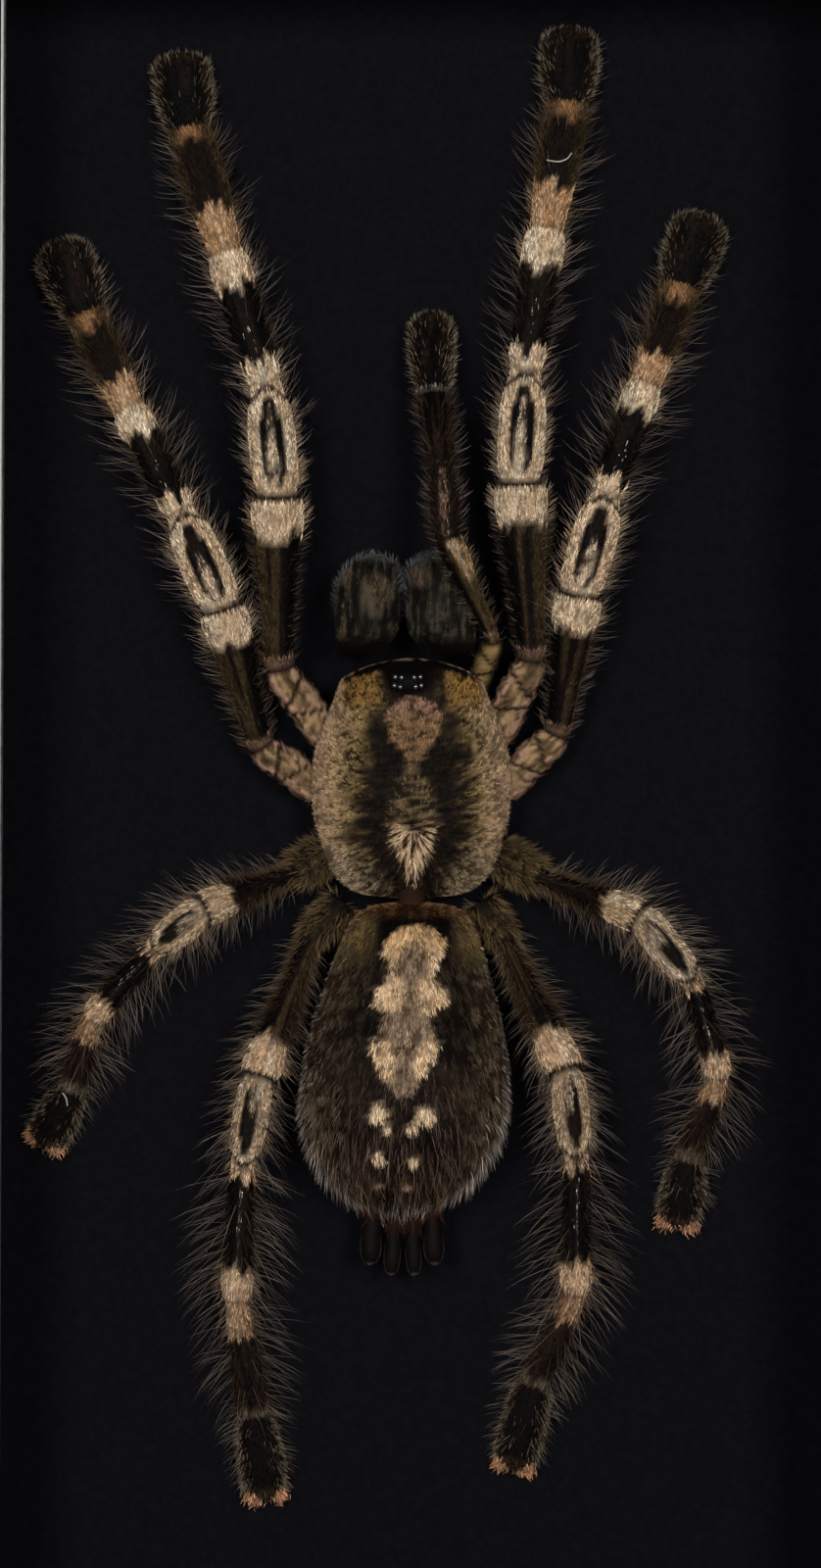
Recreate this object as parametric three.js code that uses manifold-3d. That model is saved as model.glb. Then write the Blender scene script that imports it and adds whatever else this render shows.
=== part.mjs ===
// A mounted ornamental tarantula on a black board, in a deep black box frame with an open front.
// Millimetres, +Z up. The frame stands on its bottom rail, with its front towards -Y and its back towards +Y,
// and the origin is under its middle. The spider's head is up and its back faces the front.
import * as THREE from 'three';
import { mergeVertices } from 'three/addons/utils/BufferGeometryUtils.js';
import Module from 'manifold-3d';

const wasm = await Module();
wasm.setup();

// Driving dimensions of the frame
const SIGHT_WIDTH = 92;
const SIGHT_HEIGHT = 176;
const FRAME_DEPTH = 34;
const RAIL_FACE = 15.4;
const RAIL_BEVEL = 0.8;
const FILLET_FACE = 0.5;
const FILLET_DEPTH = 3.2;
const FILLET_SETBACK = 0.7;
const FIT_GAP = 0.1;
const MITRE_GAP = 0.05;
const RABBET = 5;
const BOARD_RECESS = 23;
const BOARD_THICKNESS = 2;
const PANEL_THICKNESS = 3;
const BOARD_CLEARANCE = 0.3;

// Places worked out from them
const WALL_OFFSET = FILLET_FACE + FIT_GAP;
const OUTER_HEIGHT = SIGHT_HEIGHT + 2 * (WALL_OFFSET + RAIL_FACE);
const MIDDLE_Z = OUTER_HEIGHT / 2;
const FRONT_Y = -FRAME_DEPTH / 2;
const BACK_Y = FRAME_DEPTH / 2;
const RABBET_Y = FRONT_Y + BOARD_RECESS;
const BOARD_Y = RABBET_Y + FIT_GAP;
const PANEL_Y = BOARD_Y + BOARD_THICKNESS + FIT_GAP;
const PANEL_BACK_Y = PANEL_Y + PANEL_THICKNESS;

// The metal points that hold the back in, and the hanger riveted to it
const POINT_WIDTH = 8;
const POINT_REACH = 6;
const POINT_THICKNESS = 0.5;
const SIDE_POINTS_Z = 50;
const HANGER_LENGTH = 44;
const HANGER_HEIGHT = 9;
const HANGER_THICKNESS = 0.8;
const HANGER_STANDOFF = 1.5;
const HANGER_DROP = 17;
const HANGER_TEETH = 9;
const TOOTH_PITCH = 3;
const TOOTH_DEPTH = 1.6;
const RIVET_RADIUS = 1.9;
const RIVET_INSET = 4.5;

// The specimen's own axes start at its pedicel: x to the right, z towards the head, height above the board
const PEDICEL_X = -0.43;
const PEDICEL_BELOW_MIDDLE = 12.87;
const SPECIMEN_LEAN = THREE.MathUtils.degToRad(-0.25);
const PIECE_GAP = 0.3;
const LIMB_SIDES = 10;
const BEND = 0.14;

// A limb's segments: how flat each is, and its width at places along it, as shares of its greatest width
const LIMB_SEGMENTS = {
  coxa: { flatness: 0.85, girth: [[0, 0.95], [0.45, 1], [0.86, 0.9]] },
  femur: { flatness: 0.92, girth: [[0.05, 0.58], [0.2, 0.6], [0.48, 0.74], [0.74, 0.92], [0.93, 1]] },
  patella: { flatness: 0.85, girth: [[0.02, 0.86], [0.12, 0.95], [0.45, 1], [0.75, 0.94], [0.93, 0.74]] },
  tibia: { flatness: 0.85, girth: [[0.02, 0.76], [0.12, 0.88], [0.5, 0.95], [0.9, 1]] },
  metatarsus: { flatness: 0.76, girth: [[0.02, 0.74], [0.2, 0.8], [0.6, 1], [0.9, 0.96]] },
  tarsus: { flatness: 0.6, girth: [[0.03, 0.76], [0.2, 0.9], [0.5, 1], [0.76, 0.95], [0.92, 0.7]] },
};
const LEG_ORDER = ['coxa', 'femur', 'patella', 'tibia', 'metatarsus', 'tarsus'];
const PALP_ORDER = ['coxa', 'femur', 'patella', 'tibia', 'tarsus'];

// Each segment's greatest width, from the body outwards
const WIDTHS = {
  leg_1: [5.0, 6.5, 5.8, 5.2, 5.8, 7.0],
  leg_2: [5.0, 5.9, 5.7, 4.8, 5.4, 6.9],
  leg_3: [4.8, 4.6, 4.5, 3.7, 4.0, 5.3],
  leg_4: [4.2, 5.0, 4.5, 4.1, 4.2, 5.5],
  palp: [3.4, 3.6, 3.9, 4.3, 5.6],
};

// Each limb's joints from the body to the tip, as [x, z, height]
const LIMBS = {
  leg_1_left: [
    [-9.4, 18.2, 3.7], [-15.0, 25.7, 7.1], [-15.0, 45.3, 10.4], [-16.2, 57.2, 10],
    [-20.8, 72.3, 6.8], [-25.1, 86.5, 3.2], [-26.2, 95.2, 1.9],
  ],
  leg_2_left: [
    [-10.2, 12.3, 3.5], [-17.0, 16.9, 4.4], [-21.3, 32.8, 8.9], [-25.7, 42.9, 8.8],
    [-31.7, 54.8, 6.1], [-36.6, 65.6, 3.1], [-39.8, 74.0, 1.9],
  ],
  leg_3_left: [
    [-9.4, 5.2, 3.6], [-13.2, 2.9, 6.0], [-23.5, -1.2, 11.4], [-28.6, -5.4, 10.5],
    [-35.8, -13.3, 6.0], [-38.2, -21.5, 2.7], [-41.6, -27.9, 1.6],
  ],
  leg_4_left: [
    [-7.7, -0.4, 3.2], [-11.4, -4.6, 3.8], [-17.3, -20.2, 9.9], [-18.9, -29.7, 10.0],
    [-19.7, -44.9, 6.3], [-17.7, -58.1, 2.9], [-16.3, -67.8, 1.7],
  ],
  leg_1_right: [
    [9.4, 18.2, 3.7], [13.6, 26.7, 6.9], [12.1, 46.9, 10.4], [12.7, 58.7, 10],
    [15.1, 74.9, 6.8], [17.6, 89.4, 3.2], [17.8, 98.0, 1.9],
  ],
  leg_2_right: [
    [10.2, 12.3, 3.5], [16.4, 18.4, 4.6], [18.8, 34.3, 8.9], [21.7, 44.9, 8.8],
    [26.2, 57.6, 6.1], [30.3, 68.8, 3.1], [33.0, 77.0, 1.9],
  ],
  leg_3_right: [
    [9.4, 5.2, 3.6], [14.5, 2.3, 6.0], [25.6, -1.9, 11.4], [31.4, -9.0, 10.5],
    [34.6, -19.9, 6.0], [31.2, -29.4, 2.7], [29.9, -37.1, 1.6],
  ],
  leg_4_right: [
    [7.7, -0.4, 3.2], [10.4, -4.6, 3.8], [17.4, -19.5, 9.9], [18.5, -28.9, 10.0],
    [18.5, -44.3, 6.3], [13.8, -54.6, 2.9], [11.3, -64.4, 1.7],
  ],
};
const PALP_JOINTS = [
  [7.2, 23.6, 4.2], [9.3, 29.0, 10.2], [4.0, 40.3, 14.2],
  [3.4, 48.2, 11.5], [2.4, 56.9, 6.6], [2.2, 65.9, 2.4],
];

// The pale tufts of hair over the claws, which show at the tips of the third and fourth legs
const CLAW_TUFT = [0.9, 0.8, 1.1];
const CLAW_TUFT_SPREAD = 1.5;
const TUFTED_LEGS = ['leg_3', 'leg_4'];

// The front body's cross sections from back to front, as [z, half width, height of its top, of its edge]
const PROSOMA_SECTIONS = [
  [0.5, 5.4, 6.8, 5.3], [1.2, 7.2, 7.9, 5.4], [3.2, 9.1, 9.3, 5.6], [6.5, 10.3, 10.5, 5.8],
  [10.2, 11.2, 11.1, 5.9], [14.2, 11.3, 11.5, 6.0], [17.6, 10.7, 11.9, 6.1], [20.6, 9.6, 12.2, 6.3],
  [23.2, 8.6, 12.2, 6.4], [25.0, 7.9, 11.5, 6.5], [26.2, 6.2, 10.3, 6.6],
];
const PROSOMA_BELLY = PIECE_GAP;
const PROSOMA_SIDES = 22;
const PROSOMA_BACK_END = { z: 0.1, height: 5.6 };
const PROSOMA_FRONT_END = { z: 26.8, height: 7.7 };
const FOVEA = { x: 0.2, z: 8.1, height: 11.2, radii: [0.9, 0.9, 0.8] };
const TUBERCLE = { x: -0.4, z: 24.2, height: 11.7, radii: [2.2, 1.5, 1.3] };
const EYE_RADIUS = 0.34;
// The four eyes on each half of the tubercle, as [across, forwards] from its middle
const EYES = [[0.7, 0.6], [1.4, 0.65], [0.85, -0.45], [1.5, -0.3]];
const PEDICEL = { radius: 1.9, height: 5.9, from: 1.6, to: -2.2 };

// The abdomen's cross sections from front to back, as [z, half width]
const ABDOMEN_SECTIONS = [
  [-0.9, 4.6], [-1.8, 6.4], [-3.3, 7.4], [-6.0, 8.5], [-10.2, 9.9], [-14.6, 11.1], [-19.0, 11.8],
  [-23.2, 11.9], [-26.7, 11.2], [-29.5, 9.8], [-31.8, 8.0], [-33.5, 5.9], [-34.8, 3.3],
];
const ABDOMEN_SIDES = 22;
const ABDOMEN_DEPTH_SHARE = 0.68;
const ABDOMEN_ENDS_Z = [-0.6, -35.5];
const ABDOMEN_SLANT = 0.042;
const abdomenHeight = (halfWidth) => 4.6 + 0.325 * halfWidth;

// Each jaw's cross sections from its base forwards, as [z, outer and inner half width as shares, half depth]
const CHELICERA_SECTIONS = [
  [27.4, 0.95, 0.42, 4.0], [28.6, 0.99, 0.68, 5.0], [30.2, 1, 0.94, 5.6], [32.5, 1, 1, 5.9],
  [35.2, 0.94, 1, 5.6], [36.8, 0.8, 0.95, 4.6], [37.9, 0.56, 0.74, 3.2],
];
const CHELICERA_SIDES = 14;
const CHELICERA_HEIGHT = 6.4;
const CHELICERA_ENDS_Z = [27.1, 38.6];
const CHELICERAE = { left: { x: -4.95, halfWidth: 3.75, outer: -1 }, right: { x: 3.45, halfWidth: 4.2, outer: 1 } };

// The spinnerets as [x, z of the base, x, z of the tip, width]
const SPINNERETS = {
  spinneret_outer_left: [-4.2, -32.5, -4.7, -41.3, 2.3],
  spinneret_inner_left: [-1.8, -33.4, -2.3, -42.5, 1.8],
  spinneret_inner_right: [0.0, -33.4, 0.3, -42.5, 1.7],
  spinneret_outer_right: [2.2, -32.5, 2.6, -41.3, 2.2],
};
const SPINNERET_HEIGHT = 5.8;
const SPINNERET_RINGS = [[0, 0.85], [0.4, 0.92], [0.7, 1], [0.87, 0.94], [0.96, 0.64]];
const SPINNERET_SIDES = 8;

const black = new THREE.MeshStandardMaterial({ color: 0x15130f, roughness: 0.45 });
const silver = new THREE.MeshStandardMaterial({ color: 0xb9bab8, roughness: 0.35, metalness: 1 });
const card = new THREE.MeshStandardMaterial({ color: 0x0c0c10, roughness: 0.95 });
const fibreboard = new THREE.MeshStandardMaterial({ color: 0x8a6a48, roughness: 0.8 });
const steel = new THREE.MeshStandardMaterial({ color: 0x9a9892, roughness: 0.4, metalness: 1 });
const legHair = new THREE.MeshStandardMaterial({ color: 0x3a2a20, roughness: 0.8 });
const bodyHair = new THREE.MeshStandardMaterial({ color: 0x5a4a32, roughness: 0.8 });
const jawHair = new THREE.MeshStandardMaterial({ color: 0x2c2822, roughness: 0.8 });

const frame = new THREE.Group();
const specimen = new THREE.Group();
specimen.position.set(PEDICEL_X, BOARD_Y, MIDDLE_Z - PEDICEL_BELOW_MIDDLE);
specimen.rotation.y = SPECIMEN_LEAN;
const part = new THREE.Group();
part.add(frame, specimen);

function addPiece(group, name, geometry, material) {
  geometry.computeVertexNormals();
  const mesh = new THREE.Mesh(geometry, material);
  mesh.name = name;
  group.add(mesh);
  return mesh;
}

function indexedGeometry(points, faces) {
  const geometry = new THREE.BufferGeometry().setFromPoints(points);
  geometry.setIndex(faces.flat());
  return geometry;
}

// A closed surface through rings of the same number of points, drawn together to one point at each end.
// Seen from the last ring, each ring runs counter-clockwise.
function loft(rings, firstPoint, lastPoint) {
  const sides = rings[0].length;
  const points = [...rings.flat(), firstPoint, lastPoint];
  const first = points.length - 2;
  const faces = [];
  rings.forEach((ring, r) => {
    ring.forEach((_, s) => {
      const a = r * sides + s;
      const b = r * sides + ((s + 1) % sides);
      if (r === 0) faces.push([first, b, a]);
      if (r === rings.length - 1) faces.push([a, b, first + 1]);
      else faces.push([a, b, b + sides], [a, b + sides, a + sides]);
    });
  });
  return indexedGeometry(points, faces);
}

// A point on the specimen, from its x, z and height above the board
const at = (x, z, height) => new THREE.Vector3(x, -height, z);

function solidOf(geometry) {
  const bare = geometry.clone();
  bare.deleteAttribute('normal');
  bare.deleteAttribute('uv');
  const merged = mergeVertices(bare, 1e-4);
  return new wasm.Manifold(new wasm.Mesh({
    numProp: 3,
    vertProperties: new Float32Array(merged.attributes.position.array),
    triVerts: new Uint32Array(merged.index.array),
  }));
}

function geometryOf(solid) {
  const mesh = solid.getMesh();
  const geometry = new THREE.BufferGeometry();
  geometry.setAttribute('position', new THREE.BufferAttribute(mesh.vertProperties, mesh.numProp));
  geometry.setIndex(new THREE.BufferAttribute(mesh.triVerts, 1));
  return geometry;
}

function ellipsoid(centre, [rx, rz, rHeight], columns, rows) {
  const ball = new THREE.SphereGeometry(1, columns, rows);
  ball.scale(rx, rHeight, rz);
  ball.translate(centre.x, centre.y, centre.z);
  return solidOf(ball);
}

// A length of moulding mitred at both ends. The profile is [outwards, y] from the wall line of the opening
function mitredLength(profile, halfOpening, wallDistance) {
  const outline = profile.map(([out, y]) => new THREE.Vector2(out, y));
  const count = outline.length;
  const end = (side) => profile.map(([out, y]) => (
    new THREE.Vector3(side * (halfOpening + out - MITRE_GAP), y, wallDistance + out)));
  const faces = THREE.ShapeUtils.triangulateShape(outline, []);
  const rightCap = faces.map(([a, b, c]) => [c + count, b + count, a + count]);
  const walls = profile.flatMap((_, i) => {
    const j = (i + 1) % count;
    return [[i, j + count, j], [i, i + count, j + count]];
  });
  return indexedGeometry([...end(-1), ...end(1)], [...faces, ...rightCap, ...walls]);
}

// Four mitred lengths around the opening, whose wall lines are at these half sizes
function mitredSurround(name, profile, halfWidth, halfHeight, material) {
  const sides = [
    ['top', 0, halfWidth, halfHeight],
    ['right', Math.PI / 2, halfHeight, halfWidth],
    ['bottom', Math.PI, halfWidth, halfHeight],
    ['left', -Math.PI / 2, halfHeight, halfWidth],
  ];
  for (const [side, turn, halfOpening, wallDistance] of sides) {
    const geometry = mitredLength(profile, halfOpening, wallDistance);
    geometry.rotateY(turn);
    geometry.translate(0, 0, MIDDLE_Z);
    addPiece(frame, `${name}_${side}`, geometry, material);
  }
}

function makeRails() {
  const outside = RAIL_FACE;
  const profile = [
    [0, FRONT_Y + RAIL_BEVEL], [RAIL_BEVEL, FRONT_Y],
    [outside - RAIL_BEVEL, FRONT_Y], [outside, FRONT_Y + RAIL_BEVEL],
    [outside, BACK_Y], [RABBET, BACK_Y], [RABBET, RABBET_Y], [0, RABBET_Y],
  ];
  mitredSurround('rail', profile, SIGHT_WIDTH / 2 + WALL_OFFSET, SIGHT_HEIGHT / 2 + WALL_OFFSET, black);
}

// The thin silver edge just inside the front of the rails
function makeFillet() {
  const front = FRONT_Y + FILLET_SETBACK;
  const back = front + FILLET_DEPTH;
  const profile = [[0, front], [FILLET_FACE, front], [FILLET_FACE, back], [0, back]];
  mitredSurround('silver_edge', profile, SIGHT_WIDTH / 2, SIGHT_HEIGHT / 2, silver);
}

function slab(width, thickness, height, x, frontY, z) {
  const box = new THREE.BoxGeometry(width, thickness, height);
  box.translate(x, frontY + thickness / 2, z);
  return box;
}

function makeBack() {
  const halfWidth = SIGHT_WIDTH / 2 + WALL_OFFSET + RABBET;
  const halfHeight = SIGHT_HEIGHT / 2 + WALL_OFFSET + RABBET;
  const width = 2 * (halfWidth - BOARD_CLEARANCE);
  const height = 2 * (halfHeight - BOARD_CLEARANCE);
  addPiece(frame, 'mount_board', slab(width, BOARD_THICKNESS, height, 0, BOARD_Y, MIDDLE_Z), card);
  addPiece(frame, 'back_panel', slab(width, PANEL_THICKNESS, height, 0, PANEL_Y, MIDDLE_Z), fibreboard);

  const pointX = halfWidth - FIT_GAP - POINT_REACH / 2;
  const pointZ = halfHeight - FIT_GAP - POINT_REACH / 2;
  const y = PANEL_BACK_Y + FIT_GAP;
  const points = {
    top: [POINT_WIDTH, POINT_REACH, 0, pointZ],
    bottom: [POINT_WIDTH, POINT_REACH, 0, -pointZ],
    left_upper: [POINT_REACH, POINT_WIDTH, -pointX, SIDE_POINTS_Z],
    left_lower: [POINT_REACH, POINT_WIDTH, -pointX, -SIDE_POINTS_Z],
    right_upper: [POINT_REACH, POINT_WIDTH, pointX, SIDE_POINTS_Z],
    right_lower: [POINT_REACH, POINT_WIDTH, pointX, -SIDE_POINTS_Z],
  };
  for (const [side, [across, along, x, z]] of Object.entries(points)) {
    addPiece(frame, `glazing_point_${side}`, slab(across, POINT_THICKNESS, along, x, y, MIDDLE_Z + z), steel);
  }
}

// A sawtooth hanger on two rivets, with its teeth along the upper edge of its slot side
function makeHanger() {
  const half = HANGER_LENGTH / 2;
  const toothed = (HANGER_TEETH * TOOTH_PITCH) / 2;
  const outline = new THREE.Shape();
  outline.moveTo(-half, 0);
  outline.lineTo(-toothed, 0);
  for (let i = 0; i < HANGER_TEETH; i += 1) {
    const x = -toothed + i * TOOTH_PITCH;
    outline.lineTo(x + TOOTH_PITCH / 2, TOOTH_DEPTH);
    outline.lineTo(x + TOOTH_PITCH, 0);
  }
  outline.lineTo(half, 0);
  outline.lineTo(half, HANGER_HEIGHT);
  outline.lineTo(-half, HANGER_HEIGHT);
  const plate = new THREE.ExtrudeGeometry(outline, { depth: HANGER_THICKNESS, bevelEnabled: false });
  plate.rotateX(Math.PI / 2);
  plate.translate(0, HANGER_STANDOFF + HANGER_THICKNESS, 0);
  let hanger = solidOf(plate);
  for (const side of [-1, 1]) {
    const length = HANGER_STANDOFF + 2 * HANGER_THICKNESS;
    const rivet = new THREE.CylinderGeometry(RIVET_RADIUS, RIVET_RADIUS, length, 12);
    rivet.translate(side * (half - RIVET_INSET), length / 2, HANGER_HEIGHT / 2);
    hanger = hanger.add(solidOf(rivet));
  }
  const geometry = geometryOf(hanger);
  const topOfPanel = MIDDLE_Z + SIGHT_HEIGHT / 2 + WALL_OFFSET + RABBET;
  geometry.translate(0, PANEL_BACK_Y + FIT_GAP, topOfPanel - HANGER_DROP);
  addPiece(frame, 'sawtooth_hanger', geometry, steel);
}

// A point on a limb's middle line: straight along each segment, and rounded over each joint
function limbPoint(joints, segment, share) {
  let joint = null;
  if (share < BEND && segment > 0) joint = segment;
  if (share > 1 - BEND && segment < joints.length - 2) joint = segment + 1;
  if (joint === null) return joints[segment].clone().lerp(joints[segment + 1], share);
  const before = joints[joint].clone().lerp(joints[joint - 1], BEND);
  const after = joints[joint].clone().lerp(joints[joint + 1], BEND);
  const s = joint === segment ? 0.5 + (0.5 * share) / BEND : (0.5 * (share - 1 + BEND)) / BEND;
  return new THREE.QuadraticBezierCurve3(before, joints[joint], after).getPoint(s);
}

function ringAround(centre, along, width, thickness, sides) {
  const towardsFront = new THREE.Vector3(0, -1, 0);
  const across = new THREE.Vector3().crossVectors(towardsFront, along).normalize();
  const up = new THREE.Vector3().crossVectors(along, across).normalize();
  return Array.from({ length: sides }, (_, s) => {
    const angle = (2 * Math.PI * s) / sides;
    return centre.clone()
      .addScaledVector(across, (width / 2) * Math.cos(angle))
      .addScaledVector(up, (thickness / 2) * Math.sin(angle));
  });
}

// A limb as one skin, narrowed where its segments meet and rounded off at its tip
function limb(jointList, order, widths) {
  const joints = jointList.map(([x, z, height]) => at(x, z, height));
  const places = order.flatMap((name, segment) => LIMB_SEGMENTS[name].girth.map(([share, girth]) => ({
    centre: limbPoint(joints, segment, share),
    width: widths[segment] * girth,
    thickness: widths[segment] * girth * LIMB_SEGMENTS[name].flatness,
  })));
  const tip = joints[joints.length - 1];
  const rings = places.map(({ centre, width, thickness }, i) => {
    const before = i === 0 ? centre : places[i - 1].centre;
    const after = i === places.length - 1 ? tip : places[i + 1].centre;
    return ringAround(centre, after.clone().sub(before), width, thickness, LIMB_SIDES);
  });
  return loft(rings, places[0].centre, tip);
}

function clawTufts(jointList) {
  const [wrist, tip] = jointList.slice(-2).map(([x, z, height]) => at(x, z, height));
  const along = tip.clone().sub(wrist).normalize();
  const across = new THREE.Vector3(0, -1, 0).cross(along).normalize();
  return [-1, 1].map((side) => {
    const centre = tip.clone().addScaledVector(across, side * CLAW_TUFT_SPREAD).addScaledVector(along, -0.7);
    return ellipsoid(centre, CLAW_TUFT, 8, 5);
  });
}

// The front body's skin, grown outwards by a margin where something is cut to clear it
function prosomaSkin(margin) {
  const rings = PROSOMA_SECTIONS.map(([z, halfWidth, back, edge]) => (
    Array.from({ length: PROSOMA_SIDES }, (_, s) => {
      const angle = (2 * Math.PI * s) / PROSOMA_SIDES;
      const above = Math.sin(angle) >= 0;
      const rise = above ? back - edge + margin : edge - PROSOMA_BELLY + margin;
      const squareness = above ? 0.85 : 1.15;
      const across = Math.sign(Math.cos(angle)) * Math.abs(Math.cos(angle)) ** squareness;
      return at((halfWidth + margin) * across, z, edge + rise * Math.sin(angle));
    })
  ));
  const back = at(0, PROSOMA_BACK_END.z - margin, PROSOMA_BACK_END.height);
  const front = at(0, PROSOMA_FRONT_END.z + margin, PROSOMA_FRONT_END.height);
  return solidOf(loft(rings.map((ring) => ring.reverse()), back, front));
}

function pedicelRod(margin) {
  const rod = new THREE.CylinderGeometry(PEDICEL.radius + margin, PEDICEL.radius + margin, 1, 12);
  rod.scale(1, PEDICEL.from - PEDICEL.to + 2 * margin, 1);
  rod.rotateX(Math.PI / 2);
  rod.translate(0, -PEDICEL.height, (PEDICEL.from + PEDICEL.to) / 2);
  return solidOf(rod);
}

function makeProsoma() {
  const { x, z, height, radii } = TUBERCLE;
  let body = prosomaSkin(0).add(pedicelRod(0)).add(ellipsoid(at(x, z, height), radii, 14, 8));
  body = body.subtract(ellipsoid(at(FOVEA.x, FOVEA.z, FOVEA.height), FOVEA.radii, 10, 6));
  for (const side of [-1, 1]) {
    for (const [across, forwards] of EYES) {
      const fall = (across / radii[0]) ** 2 + (forwards / radii[1]) ** 2;
      const eye = at(x + side * across, z + forwards, height + radii[2] * Math.sqrt(1 - fall));
      body = body.add(ellipsoid(eye, [EYE_RADIUS, EYE_RADIUS, EYE_RADIUS], 6, 4));
    }
  }
  addPiece(specimen, 'prosoma', geometryOf(body), bodyHair);
}

function abdomenSkin(margin) {
  const middleX = (z) => 0.1 + ABDOMEN_SLANT * z;
  const rings = ABDOMEN_SECTIONS.map(([z, halfWidth]) => (
    Array.from({ length: ABDOMEN_SIDES }, (_, s) => {
      const angle = (2 * Math.PI * s) / ABDOMEN_SIDES;
      return at(
        middleX(z) + (halfWidth + margin) * Math.cos(angle),
        z,
        abdomenHeight(halfWidth) + (halfWidth * ABDOMEN_DEPTH_SHARE + margin) * Math.sin(angle),
      );
    })
  ));
  const [frontZ, backZ] = ABDOMEN_ENDS_Z;
  const endHeight = abdomenHeight(ABDOMEN_SECTIONS[0][1]);
  const front = at(middleX(frontZ), frontZ + margin, endHeight);
  const back = at(middleX(backZ), backZ - margin, endHeight);
  return solidOf(loft(rings, front, back));
}

function makeAbdomen() {
  addPiece(specimen, 'abdomen', geometryOf(abdomenSkin(0).subtract(pedicelRod(PIECE_GAP))), bodyHair);
}

function cheliceraSkin({ x, halfWidth, outer }, margin) {
  const rings = CHELICERA_SECTIONS.map(([z, outerShare, innerShare, halfDepth]) => {
    const middle = at(x + (outer * halfWidth * (outerShare - innerShare)) / 2, z, CHELICERA_HEIGHT);
    const width = halfWidth * (outerShare + innerShare) + 2 * margin;
    return ringAround(middle, new THREE.Vector3(0, 0, 1), width, 2 * (halfDepth + margin), CHELICERA_SIDES);
  });
  const [baseZ, frontZ] = CHELICERA_ENDS_Z;
  return loft(rings, at(x, baseZ, CHELICERA_HEIGHT), at(x, frontZ + margin, CHELICERA_HEIGHT));
}

function makeSpinnerets() {
  const body = abdomenSkin(PIECE_GAP);
  for (const [name, [baseX, baseZ, tipX, tipZ, width]] of Object.entries(SPINNERETS)) {
    const base = at(baseX, baseZ, SPINNERET_HEIGHT);
    const tip = at(tipX, tipZ, SPINNERET_HEIGHT);
    const along = tip.clone().sub(base);
    const rings = SPINNERET_RINGS.map(([share, girth]) => (
      ringAround(base.clone().lerp(tip, share), along, width * girth, width * girth, SPINNERET_SIDES)));
    addPiece(specimen, name, geometryOf(solidOf(loft(rings, base, tip)).subtract(body)), jawHair);
  }
}

function makeLimbs() {
  const body = prosomaSkin(PIECE_GAP).add(pedicelRod(PIECE_GAP));
  for (const [name, joints] of Object.entries(LIMBS)) {
    const kind = name.slice(0, 'leg_1'.length);
    let leg = solidOf(limb(joints, LEG_ORDER, WIDTHS[kind])).subtract(body);
    if (TUFTED_LEGS.includes(kind)) {
      for (const tuft of clawTufts(joints)) leg = leg.add(tuft);
    }
    addPiece(specimen, name, geometryOf(leg), legHair);
  }
  const jaw = solidOf(cheliceraSkin(CHELICERAE.right, PIECE_GAP));
  const palp = solidOf(limb(PALP_JOINTS, PALP_ORDER, WIDTHS.palp)).subtract(body).subtract(jaw);
  addPiece(specimen, 'pedipalp_right', geometryOf(palp), legHair);
}

function makeChelicerae() {
  for (const [side, jaw] of Object.entries(CHELICERAE)) {
    addPiece(specimen, `chelicera_${side}`, cheliceraSkin(jaw, 0), jawHair);
  }
}

makeRails();
makeFillet();
makeBack();
makeHanger();
makeProsoma();
makeAbdomen();
makeChelicerae();
makeSpinnerets();
makeLimbs();

export default part;
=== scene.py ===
import math
from collections import namedtuple
import bpy
import numpy as np
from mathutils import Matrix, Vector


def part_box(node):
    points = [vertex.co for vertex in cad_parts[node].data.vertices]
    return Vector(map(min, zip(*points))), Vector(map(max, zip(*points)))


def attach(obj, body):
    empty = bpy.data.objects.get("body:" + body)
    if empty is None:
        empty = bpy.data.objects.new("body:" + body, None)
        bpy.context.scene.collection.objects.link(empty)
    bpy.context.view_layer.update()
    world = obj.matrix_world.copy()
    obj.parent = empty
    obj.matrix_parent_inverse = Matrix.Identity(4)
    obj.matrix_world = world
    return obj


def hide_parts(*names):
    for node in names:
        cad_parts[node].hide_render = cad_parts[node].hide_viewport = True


# A mounted ornamental tarantula on a black board, in a deep black box frame with an open front.
# Shapes are worked out in the specimen's own millimetres, x to the right, y away from the viewer and z to the
# head, from the pedicel on the board's front face, and are then placed in the frame, in metres.
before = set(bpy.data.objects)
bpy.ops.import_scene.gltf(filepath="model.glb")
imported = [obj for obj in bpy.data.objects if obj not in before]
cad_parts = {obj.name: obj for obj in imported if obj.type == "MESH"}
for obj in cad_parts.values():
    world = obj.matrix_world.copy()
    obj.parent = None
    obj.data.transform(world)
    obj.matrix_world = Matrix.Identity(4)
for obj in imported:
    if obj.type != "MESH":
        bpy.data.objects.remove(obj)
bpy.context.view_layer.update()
MM = 0.001

# The specimen's place on the board
board_low, board_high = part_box("mount_board")
BOARD_Y = board_low[1] / MM
MIDDLE_Z = (board_low[2] + board_high[2]) / 2 / MM
PEDICEL_X = -0.43
PEDICEL_BELOW_MIDDLE = 12.87
LEAN = math.radians(-0.25)

# Ways on the specimen
TO_VIEWER = np.array([0.0, -1.0, 0.0])
TO_HEAD = np.array([0.0, 0.0, 1.0])

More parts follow.
